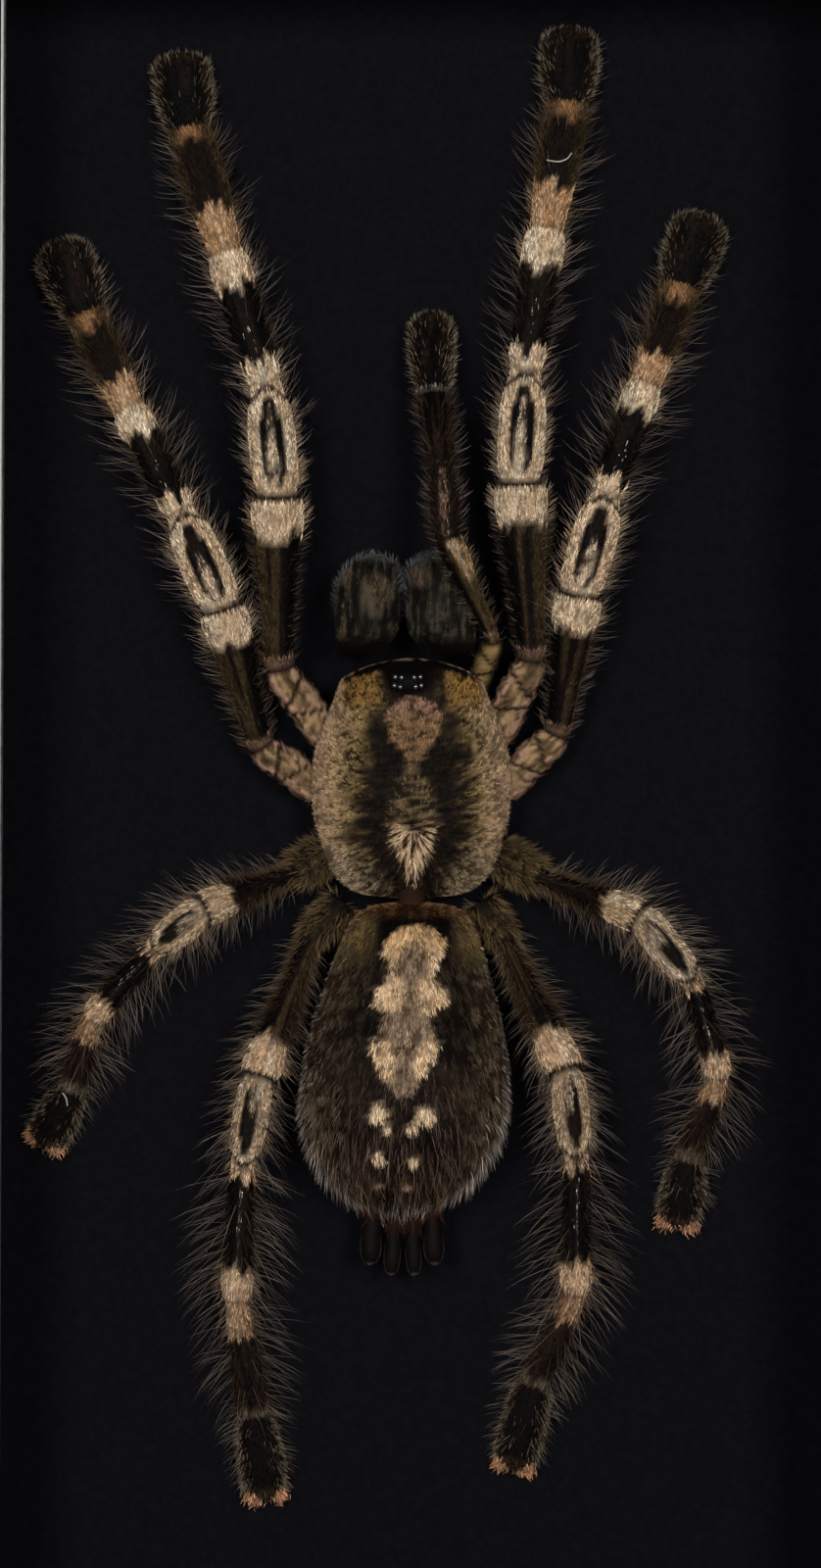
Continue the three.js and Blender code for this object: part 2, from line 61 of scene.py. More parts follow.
# Limb segments, as in the solids: flatness, and girth at places along the segment
BEND = 0.14
LIMB_SEGMENTS = {
    "coxa": (0.85, [(0, 0.95), (0.45, 1), (0.86, 0.9)]),
    "femur": (0.92, [(0.05, 0.58), (0.2, 0.6), (0.48, 0.74), (0.74, 0.92), (0.93, 1)]),
    "patella": (0.85, [(0.02, 0.86), (0.12, 0.95), (0.45, 1), (0.75, 0.94), (0.93, 0.74)]),
    "tibia": (0.85, [(0.02, 0.76), (0.12, 0.88), (0.5, 0.95), (0.9, 1)]),
    "metatarsus": (0.76, [(0.02, 0.74), (0.2, 0.8), (0.6, 1), (0.9, 0.96)]),
    "tarsus": (0.6, [(0.03, 0.76), (0.2, 0.9), (0.5, 1), (0.98, 0.97)]),
}
TIP_DOME = 0.24
LEG_ORDER = list(LIMB_SEGMENTS)
PALP_ORDER = [name for name in LEG_ORDER if name != "metatarsus"]
WIDTHS = {
    "leg_1": [5, 6.5, 5.8, 5.2, 5.8, 7],
    "leg_2": [5, 5.9, 5.7, 4.8, 5.4, 6.9],
    "leg_3": [4.8, 4.6, 4.5, 3.7, 4, 5.3],
    "leg_4": [4.2, 5, 4.5, 4.1, 4.2, 5.5],
    "palp": [3.4, 3.6, 3.9, 4.3, 5.6],
}

# Each limb's joints from the body to the tip, as (x, z, height above the board)
LIMBS = {
    "leg_1_left": [
        (-9.4, 18.2, 3.7), (-15, 25.7, 7.1), (-15, 45.3, 10.4), (-16.2, 57.2, 10),
        (-20.8, 72.3, 6.8), (-25.1, 86.5, 3.2), (-26.2, 95.2, 1.9)],
    "leg_2_left": [
        (-10.2, 12.3, 3.5), (-17, 16.9, 4.4), (-21.3, 32.8, 8.9), (-25.7, 42.9, 8.8),
        (-31.7, 54.8, 6.1), (-36.6, 65.6, 3.1), (-39.8, 74, 1.9)],
    "leg_3_left": [
        (-9.4, 5.2, 3.6), (-13.2, 2.9, 6), (-23.5, -1.2, 11.4), (-28.6, -5.4, 10.5),
        (-35.8, -13.3, 6), (-38.2, -21.5, 2.7), (-41.6, -27.9, 1.6)],
    "leg_4_left": [
        (-7.7, -0.4, 3.2), (-11.4, -4.6, 3.8), (-17.3, -20.2, 9.9), (-18.9, -29.7, 10),
        (-19.7, -44.9, 6.3), (-17.7, -58.1, 2.9), (-16.3, -67.8, 1.7)],
    "leg_1_right": [
        (9.4, 18.2, 3.7), (13.6, 26.7, 6.9), (12.1, 46.9, 10.4), (12.7, 58.7, 10),
        (15.1, 74.9, 6.8), (17.6, 89.4, 3.2), (17.8, 98, 1.9)],
    "leg_2_right": [
        (10.2, 12.3, 3.5), (16.4, 18.4, 4.6), (18.8, 34.3, 8.9), (21.7, 44.9, 8.8),
        (26.2, 57.6, 6.1), (30.3, 68.8, 3.1), (33, 77, 1.9)],
    "leg_3_right": [
        (9.4, 5.2, 3.6), (14.5, 2.3, 6), (25.6, -1.9, 11.4), (31.4, -9, 10.5),
        (34.6, -19.9, 6), (31.2, -29.4, 2.7), (29.9, -37.1, 1.6)],
    "leg_4_right": [
        (7.7, -0.4, 3.2), (10.4, -4.6, 3.8), (17.4, -19.5, 9.9), (18.5, -28.9, 10),
        (18.5, -44.3, 6.3), (13.8, -54.6, 2.9), (11.3, -64.4, 1.7)],
    "pedipalp_right": [
        (7.2, 23.6, 4.2), (9.3, 29, 10.2), (4, 40.3, 14.2),
        (3.4, 48.2, 11.5), (2.4, 56.9, 6.6), (2.2, 65.9, 2.4)],
}

# The front body, as (z, half width, height of its top, of its edge)
PROSOMA_SECTIONS = [
    (0.1, 1.5, 5.9, 5.3), (0.5, 5.4, 6.8, 5.3), (1.2, 7.2, 7.9, 5.4), (3.2, 9.1, 9.3, 5.6),
    (6.5, 10.3, 10.5, 5.8), (10.2, 11.2, 11.1, 5.9), (14.2, 11.3, 11.5, 6), (17.6, 10.7, 11.9, 6.1),
    (20.6, 9.6, 12.2, 6.3), (23.2, 8.6, 12.2, 6.4), (24.3, 8.2, 11.8, 6.45), (25.1, 7.2, 11.3, 6.5),
    (25.9, 5.5, 10.5, 6.6), (26.5, 3.4, 9.6, 6.8), (26.8, 1.6, 8.6, 6.9)]
PROSOMA_ENDS = ((0, 0, 5.6), (0, 26.9, 7.7))
PROSOMA_BELLY = 0.3
FOVEA_X = 0.2
FOVEA_Z = 8.1
TUBERCLE = {"x": -0.4, "z": 24.2, "height": 11.7, "radii": (2.2, 1.5, 1.3)}
EYES = [(0.7, 0.6), (1.4, 0.65), (0.85, -0.45), (1.5, -0.3)]
PEDICEL_RADIUS = 1.9
PEDICEL_HEIGHT = 5.9

# The abdomen, as (z, half width)
ABDOMEN_SECTIONS = [
    (-0.6, 2.5), (-0.9, 4.6), (-1.8, 6.4), (-3.3, 7.4), (-6, 8.5), (-10.2, 9.9), (-14.6, 11.1),
    (-19, 11.8), (-23.2, 11.9), (-26.7, 11.2), (-29.5, 9.8), (-31.8, 8), (-33.5, 5.9), (-34.8, 3.3),
    (-35.4, 1.4)]
ABDOMEN_DEPTH_SHARE = 0.68
ABDOMEN_X = 0.1
ABDOMEN_SLANT = 0.042
ABDOMEN_HEIGHT = 4.6
ABDOMEN_RISE = 0.325

# Each jaw, as (z, outer and inner half width as shares, half depth), and its x, half width and outer side
CHELICERA_SECTIONS = [
    (27.2, 0.85, 0.2, 3.2), (27.7, 0.96, 0.46, 4.3), (28.6, 0.99, 0.68, 5), (30.2, 1, 0.94, 5.6),
    (32.5, 1, 1, 5.9), (34.6, 0.97, 1, 5.7), (36.4, 0.8, 0.97, 4.9), (37.6, 0.52, 0.86, 3.6),
    (38.3, 0.18, 0.6, 2)]
CHELICERA_HEIGHT = 6.4
CHELICERAE = {"left": (-4.95, 3.75, -1), "right": (3.45, 4.2, 1)}

# The paler patch on each jaw, as (x, z, size)
JAW_PATCH = {"left": (-3.9, 34, 1.9), "right": (0.9, 35.9, 1.1)}

# The spinnerets, as (x, z) of the base, (x, z) of the tip, and the width
SPINNERETS = {
    "spinneret_outer_left": ((-4.2, -32.5), (-4.7, -41.3), 2.3),
    "spinneret_inner_left": ((-1.8, -33.4), (-2.3, -42.5), 1.8),
    "spinneret_inner_right": ((0, -33.4), (0.3, -42.5), 1.7),
    "spinneret_outer_right": ((2.2, -32.5), (2.6, -41.3), 2.2),
}
SPINNERET_HEIGHT = 5.8


# Numbers: smooth curves, noise and colours

def smooth_curve(x, keys):
    """A curve through (place, value) keys that never overshoots them."""
    px, py = np.array(sorted(keys), float).T
    step = np.diff(px)
    slope = np.diff(py) / step
    tangent = np.zeros_like(py)
    same_way = slope[:-1] * slope[1:] > 0
    mean = 2 * slope[:-1] * slope[1:] / np.where(same_way, slope[:-1] + slope[1:], 1)
    tangent[1:-1] = np.where(same_way, mean, 0)
    tangent[0], tangent[-1] = slope[0], slope[-1]
    x = np.clip(x, px[0], px[-1])
    i = np.clip(np.searchsorted(px, x, side="right") - 1, 0, len(step) - 1)
    h = step[i]
    t = (x - px[i]) / h
    start = (1 + 2 * t) * (1 - t) ** 2 * py[i] + t * (1 - t) ** 2 * h * tangent[i]
    end = t * t * (3 - 2 * t) * py[i + 1] + t * t * (t - 1) * h * tangent[i + 1]
    return start + end


def ramp(low, high, x):
    t = np.clip((x - low) / (high - low), 0, 1)
    return t * t * (3 - 2 * t)


def hump(centre, half_width, x):
    """1 at the centre, falling to 0 at half_width from it."""
    return ramp(half_width, 0, np.abs(x - centre))


def lattice(ix, iy, iz, seed):
    n = (ix * 73856093) ^ (iy * 19349663) ^ (iz * 83492791) ^ (seed * 40503 + 977)
    n = ((n ^ (n >> 13)) * 1274126177) & 0x7FFFFFFF
    n = ((n ^ (n >> 16)) * 668265263) & 0x7FFFFFFF
    return (n & 0xFFFF) / 65535.0


def noise(x, y, z, seed):
    """Smooth noise from 0 to 1, with one lump for each unit."""
    cell = [np.floor(v).astype(np.int64) for v in (x, y, z)]
    part = [v - c for v, c in zip((x, y, z), cell)]
    fade = [t * t * (3 - 2 * t) for t in part]
    total = 0
    for corner in range(8):
        bits = [(corner >> k) & 1 for k in range(3)]
        weight = 1
        for k in range(3):
            weight = weight * (fade[k] if bits[k] else 1 - fade[k])
        total = total + weight * lattice(cell[0] + bits[0], cell[1] + bits[1], cell[2] + bits[2], seed)
    return total


def tone(red, green, blue):
    """A colour as a screen shows it, from 0 to 255, as linear light."""
    c = np.array([red, green, blue]) / 255
    return np.where(c <= 0.04045, c / 12.92, ((c + 0.055) / 1.055) ** 2.4)


def mix(base, over, amount):
    amount = np.asarray(amount, float)[..., None]
    return base * (1 - amount) + over * amount


def unit(v):
    return v / np.maximum(np.linalg.norm(v, axis=-1, keepdims=True), 1e-9)


def paint(colour, *layers):
    """A colour under layers, each a colour and how much of it covers what lies below."""
    for over, amount in layers:
        colour = mix(colour, over, amount)
    return colour


def column(x, table, number):
    """A curve through one column of a table whose first column is the place."""
    return smooth_curve(x, [(row[0], row[number]) for row in table])


def plane_noise(x, z, scale, seed, shift=(50, 50)):
    """Noise over the specimen's plane, with scale lumps to a millimetre."""
    return noise(x * scale + shift[0], z * scale + shift[1], 0 * x, seed)


def patch(x, z, half_x, half_z, power=4):
    """1 over a rounded rectangle about (0, 0), falling to 0 outside it."""
    return np.exp(-(x / half_x) ** power - (z / half_z) ** power)


# A kind of hair: how many, how long and wide, its rise from the skin and its spread in radians, sag and rings
Hair = namedtuple("Hair", "count length width lift stray sag rings", defaults=(0, 1))


def vary(rng, count, least, spread):
    return least + spread * rng.random(count)


def spot(x, z, height):
    """A point on the specimen, from its place and its height above the board."""
    x, z, height = np.broadcast_arrays(x, z, height)
    return np.stack([x, -height, z], axis=-1).astype(float)


def to_frame(points):
    """From the specimen's millimetres to metres in the frame."""
    x, y, z = points[..., 0], points[..., 1], points[..., 2]
    across = x * math.cos(LEAN) + z * math.sin(LEAN)
    up = z * math.cos(LEAN) - x * math.sin(LEAN)
    placed = np.stack([PEDICEL_X + across, BOARD_Y + y, MIDDLE_Z - PEDICEL_BELOW_MIDDLE + up], axis=-1)
    return placed * MM


# Surfaces: a skin is a closed loft with marks that its pattern and coat are worked out from

def loft_faces(rings, sides):
    r = np.arange(rings - 1)[:, None]
    s = np.arange(sides)[None, :]
    a = (r * sides + s).ravel()
    b = (r * sides + (s + 1) % sides).ravel()
    first = rings * sides
    ring = np.arange(sides)
    after = (ring + 1) % sides
    last_ring = (rings - 1) * sides
    cap_one = np.stack([np.full(sides, first), after, ring], axis=1)
    cap_two = np.stack([last_ring + ring, last_ring + after, np.full(sides, first + 1)], axis=1)
    return np.concatenate([
        np.stack([a, b, b + sides], axis=1), np.stack([a, b + sides, a + sides], axis=1), cap_one, cap_two])


def closed_loft(rings, first, last):
    """The points and faces of rings of points joined into a tube, with its ends closed."""
    return np.concatenate([rings.reshape(-1, 3), [first], [last]]), loft_faces(*rings.shape[:2])


def oval_rings(middle, along, width, thickness, sides):
    """Rings around a middle line, and the marks of each point's place around it."""
    across = unit(np.cross(TO_VIEWER, np.broadcast_to(along, middle.shape)))
    up = unit(np.cross(along, across))
    angle = 2 * math.pi * np.arange(sides) / sides
    rings = (middle[:, None] + across[:, None] * (width[:, None] / 2 * np.cos(angle))[..., None]
             + up[:, None] * (thickness[:, None] / 2 * np.sin(angle))[..., None])
    return rings, np.cos(angle)[None], np.sin(angle)[None]


def make_skin(rings, first, last, comb, **marks):
    """rings and comb are (ring, side, 3), and each mark is (ring, side)."""
    points, faces = closed_loft(rings, first, last)

    def with_ends(values, shape):
        values = np.broadcast_to(values, shape)
        flat = values.reshape((-1,) + shape[2:])
        return np.concatenate([flat, [values[0].mean(axis=0)], [values[-1].mean(axis=0)]])

    a, b, c = (points[faces[:, k]] for k in range(3))
    face_normal = np.cross(b - a, c - a)
    normal = np.zeros_like(points)
    for k in range(3):
        np.add.at(normal, faces[:, k], face_normal)
    skin = {
        "points": points, "faces": faces, "area": np.linalg.norm(face_normal, axis=1) / 2,
        "normal": unit(normal), "comb": unit(with_ends(comb, rings.shape)), "marks": list(marks),
        "x": points[:, 0], "z": points[:, 2]}
    for name, values in marks.items():
        skin[name] = with_ends(values, rings.shape[:2])
    return skin


def scatter(skin, count, rng, density=None):
    """Random places on a skin, with its normal, comb direction and marks there."""
    weight = skin["area"]
    if density is not None:
        weight = weight * density[skin["faces"]].mean(axis=1)
    face = skin["faces"][rng.choice(len(weight), size=count, p=weight / weight.sum())]
    u, v = rng.random((2, count))
    over = u + v > 1
    u[over], v[over] = 1 - u[over], 1 - v[over]
    share = np.stack([1 - u - v, u, v], axis=1)
    places = {}
    for name in ["points", "normal", "comb"] + skin["marks"]:
        corners = skin[name][face]
        places[name] = (corners * share.reshape(share.shape + (1,) * (corners.ndim - 2))).sum(axis=1)
    places["x"], places["z"] = places["points"][:, 0], places["points"][:, 2]
    places["normal"] = unit(places["normal"])
    places["side"] = unit(np.cross(places["normal"], places["comb"]))
    places["comb"] = unit(np.cross(places["side"], places["normal"]))
    return places


HAIR_ROOT_DEPTH = 0.06
HAIR_TAPER = 0.75


def spike_faces(count, rings):
    """The faces of three-sided spikes, each open at its root."""
    shape = []
    for r in range(rings - 1):
        for k in range(3):
            a, b = 3 * r + k, 3 * r + (k + 1) % 3
            shape += [(a, b, b + 3), (a, b + 3, a + 3)]
    for k in range(3):
        shape.append((3 * (rings - 1) + k, 3 * (rings - 1) + (k + 1) % 3, 3 * rings))
    first = np.arange(count) * (3 * rings + 1)
    return (np.array(shape)[None] + first[:, None, None]).reshape(-1, 3)


def grow(places, rng, hair, colour):
    """Hairs as thin spikes rooted under the skin."""
    count, rings = hair.count, hair.rings
    rise = hair.lift * vary(rng, count, 0.75, 0.5)
    turn = hair.stray * rng.normal(size=count)
    flat = places["comb"] * np.cos(turn)[:, None] + places["side"] * np.sin(turn)[:, None]
    aim = flat * np.cos(rise)[:, None] + places["normal"] * np.sin(rise)[:, None]
    length = hair.length * vary(rng, count, 0.7, 0.6)
    width = hair.width * vary(rng, count, 0.8, 0.4)
    bow = hair.sag * length[:, None] * (places["comb"] - 0.6 * places["normal"])
    bow = bow + 0.12 * hair.sag * length[:, None] * rng.normal(size=(count, 3))
    one = unit(np.cross(aim, places["normal"] + 0.3 * places["side"]))
    two = np.cross(aim, one)
    spin = rng.random(count) * 2 * math.pi
    root = places["points"] - HAIR_ROOT_DEPTH * places["normal"]
    stations = []
    for r in range(rings):
        t = r / rings
        middle = root + aim * (length * t)[:, None] + bow * t * t
        radius = width / 2 * (1 - HAIR_TAPER * t)
        for k in range(3):
            angle = spin + k * 2 * math.pi / 3
            stations.append(
                middle + one * (radius * np.cos(angle))[:, None] + two * (radius * np.sin(angle))[:, None])
    stations.append(root + aim * length[:, None] + bow)
    # Painted shade: each hair is darkest at its root and lighter towards its tip, standing for the shade deep
    # in the pile.
    light = 0.4 + 0.8 * np.array([r / rings for r in range(rings) for _ in range(3)] + [1.0])
    own = vary(rng, count, 0.65, 0.7)
    shades = np.broadcast_to(colour, (count, 3))[:, None] * light[None, :, None] * own[:, None, None]
    return np.stack(stations, axis=1).reshape(-1, 3), spike_faces(count, rings), shades.reshape(-1, 3)


def sprout(skin, rng, hair, density, colour, flare=0, **varied):
    """Hairs over a skin. The colour may be, and what is varied has to be, a function of the hairs' places."""
    places = scatter(skin, hair.count, rng, density)
    if flare:
        places["comb"] = unit(places["comb"] + flare * places["normal"])
    hair = hair._replace(**{name: value(places) for name, value in varied.items()})
    return grow(places, rng, hair, colour(places) if callable(colour) else colour)


def between(rng, one, other, power=1):
    """A colour for each hair, at random between two."""
    return lambda places: mix(one, other, rng.random(len(places["x"])) ** power)


# Pieces

def add_object(name, data):
    thing = bpy.data.objects.new(name, data)
    bpy.context.scene.collection.objects.link(thing)
    return thing


def settle(piece, node=None):
    """Put a piece on the root, and in place of a node if it has one."""
    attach(piece, "root")
    if node:
        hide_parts(node)


def mesh_piece(name, points, faces, kinds, materials, colours=None):
    """A mesh of triangles. Those of the first kind are smooth, and have the first material."""
    mesh = bpy.data.meshes.new(name)
    mesh.vertices.add(len(points))
    mesh.vertices.foreach_set("co", np.ascontiguousarray(to_frame(points), dtype=np.float32).ravel())
    mesh.loops.add(3 * len(faces))
    mesh.polygons.add(len(faces))
    mesh.polygons.foreach_set("loop_start", np.arange(len(faces), dtype=np.int32) * 3)
    mesh.loops.foreach_set("vertex_index", np.ascontiguousarray(faces, dtype=np.int32).ravel())
    for material in materials:
        mesh.materials.append(material)
    mesh.polygons.foreach_set("material_index", kinds.astype(np.int32))
    mesh.polygons.foreach_set("use_smooth", kinds == 0)
    mesh.update(calc_edges=True)
    if colours is not None:
        layer = mesh.color_attributes.new(name="Tone", type="FLOAT_COLOR", domain="POINT")
        rgba = np.concatenate([np.clip(colours, 0, 1), np.ones((len(colours), 1))], axis=1)
        layer.data.foreach_set("color", rgba.astype(np.float32).ravel())
    return add_object(name, mesh)


def joined(parts):
    """Parts as one, each given by its points and faces, and by its colours if it has them."""
    points, faces, *colours = zip(*parts)
    starts = np.cumsum([0] + [len(p) for p in points])
    faces = [own + start for own, start in zip(faces, starts)]
    return [np.concatenate(each) for each in (points, faces, *colours)]


def coated_piece(name, node, skin, skin_colour, hairs, skin_material):
    """One mesh of a skin and its hairs, in place of a node."""
    points, faces, colours = joined([(skin["points"], skin["faces"], skin_colour)] + hairs)
    kinds = np.arange(len(faces)) >= len(skin["faces"])
    settle(mesh_piece(name, points, faces, kinds, [skin_material, coat_hair], colours), node)


# Colours of the coat, as the photograph shows them

CREAM = tone(230, 196, 158)
PALE = tone(252, 230, 202)
TAN = tone(184, 140, 100)
EMBER = tone(168, 122, 82)
PLUM = tone(24, 15, 14)
UMBER = tone(40, 28, 20)
OLIVE = tone(70, 56, 36)
GOLD = tone(128, 104, 66)
ROSE = tone(148, 116, 94)
ASH = tone(132, 120, 108)
SOOT = tone(11, 8, 7)
DUSK = mix(SOOT, UMBER, 0.5)
JOINT = tone(26, 15, 11)
# A painted highlight: the pale hairs of the tibia's dashed glint.
GLINT_DASH_HAIR = tone(214, 200, 178)
CLAW_TAN = tone(204, 150, 112)
RIM_HAIR = tone(132, 118, 98)
FIBRE_GREY = tone(128, 122, 116)

# Where each leg's pale bands begin or end, as shares of the segment
FEMUR_BAND = {"leg_1": 0.77, "leg_2": 0.75, "leg_3": 0.68, "leg_4": 0.73, "palp": 0.62}
PATELLA_WEDGE = {"leg_1": 0.8, "leg_2": 0.52, "leg_3": 0.42, "leg_4": 0.4, "palp": 1}
TIBIA_START = {"leg_1": 0.17, "leg_2": 0.13, "leg_3": 0.08, "leg_4": 0.07}
TIBIA_END = {"leg_1": 0.74, "leg_2": 0.73, "leg_3": 0.75, "leg_4": 0.76}
METATARSUS_START = {"leg_1": 0.31, "leg_2": 0.28, "leg_3": 0.3, "leg_4": 0.28}
METATARSUS_END = {"leg_1": 0.81, "leg_2": 0.79, "leg_3": 0.82, "leg_4": 0.88}
FEMUR_BAND_TONES = {
    "leg_3": mix(CREAM, GOLD, 0.45), "leg_4": mix(CREAM, TAN, 0.4), "palp": mix(GOLD, TAN, 0.3)}
HIND = ("leg_3", "leg_4")


def limb_kind(node):
    return node[:5] if node.startswith("leg") else "palp"


# Each segment's colour. t runs along the segment, and q across it, positive away from the body's middle

def coxa_tone(kind, t, q, streak, fine, jag):
    plate = paint(
        tone(66, 52, 34), (tone(122, 98, 70), ramp(0.3, 0.65, streak)),
        # Painted highlight: pale glints on the plates, away from their middle.
        (tone(176, 138, 118), 0.6 * ramp(0.3, 0.8, np.abs(q)) * ramp(0.4, 0.6, fine)),
        (tone(36, 25, 16), 0.7 * ramp(0.44, 0.34, fine)))
    if kind in HIND:
        plate = mix(mix(UMBER, OLIVE, 0.5), GOLD, 0.5 * ramp(0.4, 0.75, streak))
        plate = mix(plate, SOOT, 0.9 * ramp(0.5, 0.1, t))
    if kind == "palp":
        plate = mix(OLIVE, GOLD, 0.6 * ramp(0.9, 0.3, np.abs(q)))
    suture = np.maximum(hump(0.42 + 0.12 * q, 0.05, t), hump(0.72 - 0.12 * q, 0.045, t))
    suture = np.maximum(suture, hump(0.98, 0.05, t))
    # Painted shade: the plates go black towards their outline, for the shade between the coxae. The sutures
    # are their own dark lines.
    return paint(plate, (tone(22, 12, 9), ramp(0.1, 0.6, suture)), (SOOT, 0.7 * ramp(0.6, 1, np.abs(q))))


def femur_tone(kind, t, q, streak, fine, jag):
    # Painted light and shade: lit runs across each femur, which is painted lighter towards its lit side and
    # near black on the other.
    lit = -q if kind in HIND else q
    dark = mix(PLUM, OLIVE, 0.9 * ramp(0.36, 0.7, streak + 0.22 * lit))
    edge = t - FEMUR_BAND[kind] + jag
    if kind == "leg_3":
        dark = mix(PLUM, OLIVE, 0.4 * ramp(0.5, 0.85, streak))
    if kind == "palp":
        dark = mix(OLIVE, GOLD, 0.35 * ramp(0.4, 0.7, streak))
        edge = edge - 0.5 * ramp(0.1, -0.5, q)
    band = paint(
        FEMUR_BAND_TONES.get(kind, CREAM), (PALE, 0.4 * ramp(0.4, 0.8, streak)),
        (TAN, 0.5 * hump(0, 0.1, q) * ramp(0.3, 0.6, fine)))
    front = kind not in HIND
    return paint(
        dark, (SOOT, ramp(-0.2, -0.6, lit)), (band, ramp(-0.012, 0.012, edge)),
        (ROSE, 0.8 * hump(0.05, 0.035, t) * front), (SOOT, hump(0.1, 0.03, t) * front),
        (JOINT, ramp(0.965, 0.98, t + 0.02 * q * q)))


def patella_tone(kind, t, q, streak, fine, jag):
    rim = mix(mix(CREAM, TAN, 0.15), PALE, 0.6 * ramp(0.45, 0.8, streak))
    middle = paint(
        tone(204, 182, 156), (rim, 0.4 * ramp(0.75, 0.25, t)), (tone(92, 74, 60), ramp(0.5, 0.7, fine)))
    if kind in HIND:
        rim, middle = mix(rim, OLIVE, 0.3), mix(middle, UMBER, 0.4)
    q = q + 0.1 * (streak - 0.5)
    if kind == "palp":
        middle = rim = mix(DUSK, ROSE, 0.8 * ramp(0.42, 0.6, fine) * ramp(0.5, 0.1, np.abs(q)))
    spread = smooth_curve(t, [(0.05, 0.27), (0.25, 0.37), (0.6, 0.33), (0.88, 0.12)])
    inside = ramp(spread + 0.05, spread - 0.05, np.abs(q)) * ramp(0.04, 0.12, t) * ramp(0.9, 0.84, t)
    thick = smooth_curve(t, [(0.05, 0.1), (0.3, 0.18), (0.6, 0.24), (0.9, 0.16)])
    line = ramp(thick, 0.6 * thick, np.abs(np.abs(q) - spread)) * ramp(0.04, 0.1, t) * ramp(0.92, 0.86, t)
    wedge = inside * ramp(PATELLA_WEDGE[kind] - 0.04, PATELLA_WEDGE[kind] + 0.06, t + jag)
    if kind in HIND:
        line = line * (0.4 + 0.6 * (q > 0))
    lined = kind != "palp"
    ends = np.maximum(ramp(0.03, 0.01, t), ramp(0.035, 0.015, np.abs(t - 0.97 + 0.12 * q * q)))
    return paint(rim, (middle, inside), (SOOT, line * lined), (DUSK, wedge * lined), (JOINT, ends))


def tibia_tone(kind, t, q, streak, fine, jag):
    ends = (JOINT, np.maximum(ramp(0.02, 0, t), ramp(0.975, 0.99, t)))
    if kind == "palp":
        return paint(SOOT, (UMBER, ramp(0.4, 0.6, streak)), (ASH, ramp(0.95, 0.965, t)), ends)
    cream = mix(CREAM, PALE, 0.6 * ramp(0.4, 0.8, streak))
    if kind in HIND:
        cream = mix(cream, TAN, 0.5)
    near = ramp(0.012, -0.012, t - TIBIA_START[kind] + 1.3 * jag)
    far = ramp(-0.012, 0.012, t - TIBIA_END[kind] + jag)
    line = hump(0.06, 0.08, q) * ramp(0.1, 0.2, t) * ramp(0.85, 0.6, t) * (kind in HIND)
    return paint(
        SOOT, (UMBER, 0.6 * ramp(0.45, 0.8, streak)), (cream, np.maximum(near, far)), (ASH, 0.5 * line), ends)


def metatarsus_tone(kind, t, q, streak, fine, jag):
    near = mix(TAN, CREAM, 0.5 * ramp(0.35, 0.7, streak))
    dark = mix(DUSK, OLIVE, 0.6 * ramp(0.45, 0.9, np.abs(q)))
    far = mix(EMBER * 0.8, OLIVE, 0.9 * ramp(0.2, 0.7, np.abs(q)))
    if kind in HIND:
        near = mix(tone(148, 114, 84), CREAM, 0.4 * ramp(0.4, 0.8, streak))
        dark = mix(UMBER, PLUM, ramp(0.4, 0.7, streak))
        far = mix(ASH, OLIVE, 0.75)
    return paint(
        dark, (near, ramp(0.02, -0.02, t - METATARSUS_START[kind] + 1.2 * jag)),
        (far, ramp(0.02, 0.06, t - METATARSUS_END[kind] + jag)))


def tarsus_tone(kind, t, q, streak, fine, jag):
    # Partly the fuzz's own brown and partly painted rim light: the tarsus is paler towards its outline as
    # seen from the front, and at its tip.
    edge = ramp(0.55, 1, np.abs(q))
    rim = tone(50, 38, 28)
    if kind in HIND:
        return mix(mix(SOOT, PLUM, 0.5), rim, np.maximum(0.7 * edge, ramp(0.78, 0.88, t)))
    return paint(
        SOOT, (UMBER, 0.7 * ramp(0.4, 0.8, streak)), (SOOT, 0.8 * ramp(0.3, 0.08, t + 0.1 * fine)),
        (rim, 0.8 * np.maximum(edge, ramp(0.72, 0.98, t))))


SEGMENT_TONES = {
    "coxa": coxa_tone, "femur": femur_tone, "patella": patella_tone, "tibia": tibia_tone,
    "metatarsus": metatarsus_tone, "tarsus": tarsus_tone}


def outer_side(node):
    """The sign that makes a limb's sideways mark positive on the side away from the body's middle."""
    return 1 if node.endswith("left") != node.startswith(HIND) else -1


def limb_tone(node, order, places, seed):
    """The colour of a limb's coat, segment by segment."""
    s, q, top = places["s"], places["q"] * outer_side(node), places["top"]
    segment = np.clip(s.astype(int), 0, len(order) - 1)
    t = s - segment
    streak = noise(s * 2.5, q * 5 + 9, top * 5 + 9, seed)
    fine = noise(s * 16, q * 12 + 9, top * 12 + 9, seed + 1)
    jag = 0.13 * (noise(q * 4 + 9, top * 4 + 9, segment * 7.3, seed + 2) - 0.5) + 0.05 * (fine - 0.5)
    colour = np.zeros((len(s), 3))
    for i, name in enumerate(order):
        at = segment == i
        colour[at] = SEGMENT_TONES[name](limb_kind(node), t[at], q[at], streak[at], fine[at], jag[at])
    return colour


# Limbs

PILE = 0.4
LIMB_SIDES = 28
RINGS_PER_SEGMENT = 24
TIP_RINGS = 9
LIMB_PILE = Hair(0, 0.62, 0.08, 0.26, 0.14)
LIMB_FRINGE = Hair(0, 1.5, 0.06, 1, 0.3, 0.15)
LIMB_BRISTLE = Hair(0, 0, 0.055, 1.2, 0.2, 0.16, 3)
LEG_DASH = Hair(9, 0.55, 0.2, 0.12, 0.1, 0.05)
PALP_DASH = LEG_DASH._replace(width=0.02)
HIND_SHAG = Hair(1300, 1.5, 0.085, 0.75, 0.35, 0.1)
CLAW_TUFT = Hair(520, 0.6, 0.12, 0.1, 0.3)
PILE_HAIRS = {"leg_1": 16500, "leg_2": 14500, "leg_3": 10500, "leg_4": 13500, "palp": 8000}
FRINGE_HAIRS = {"leg_1": 1600, "leg_2": 1500, "leg_3": 1200, "leg_4": 1500, "palp": 900}
BRISTLES = {"leg_1": 520, "leg_2": 560, "leg_3": 620, "leg_4": 820, "palp": 240}

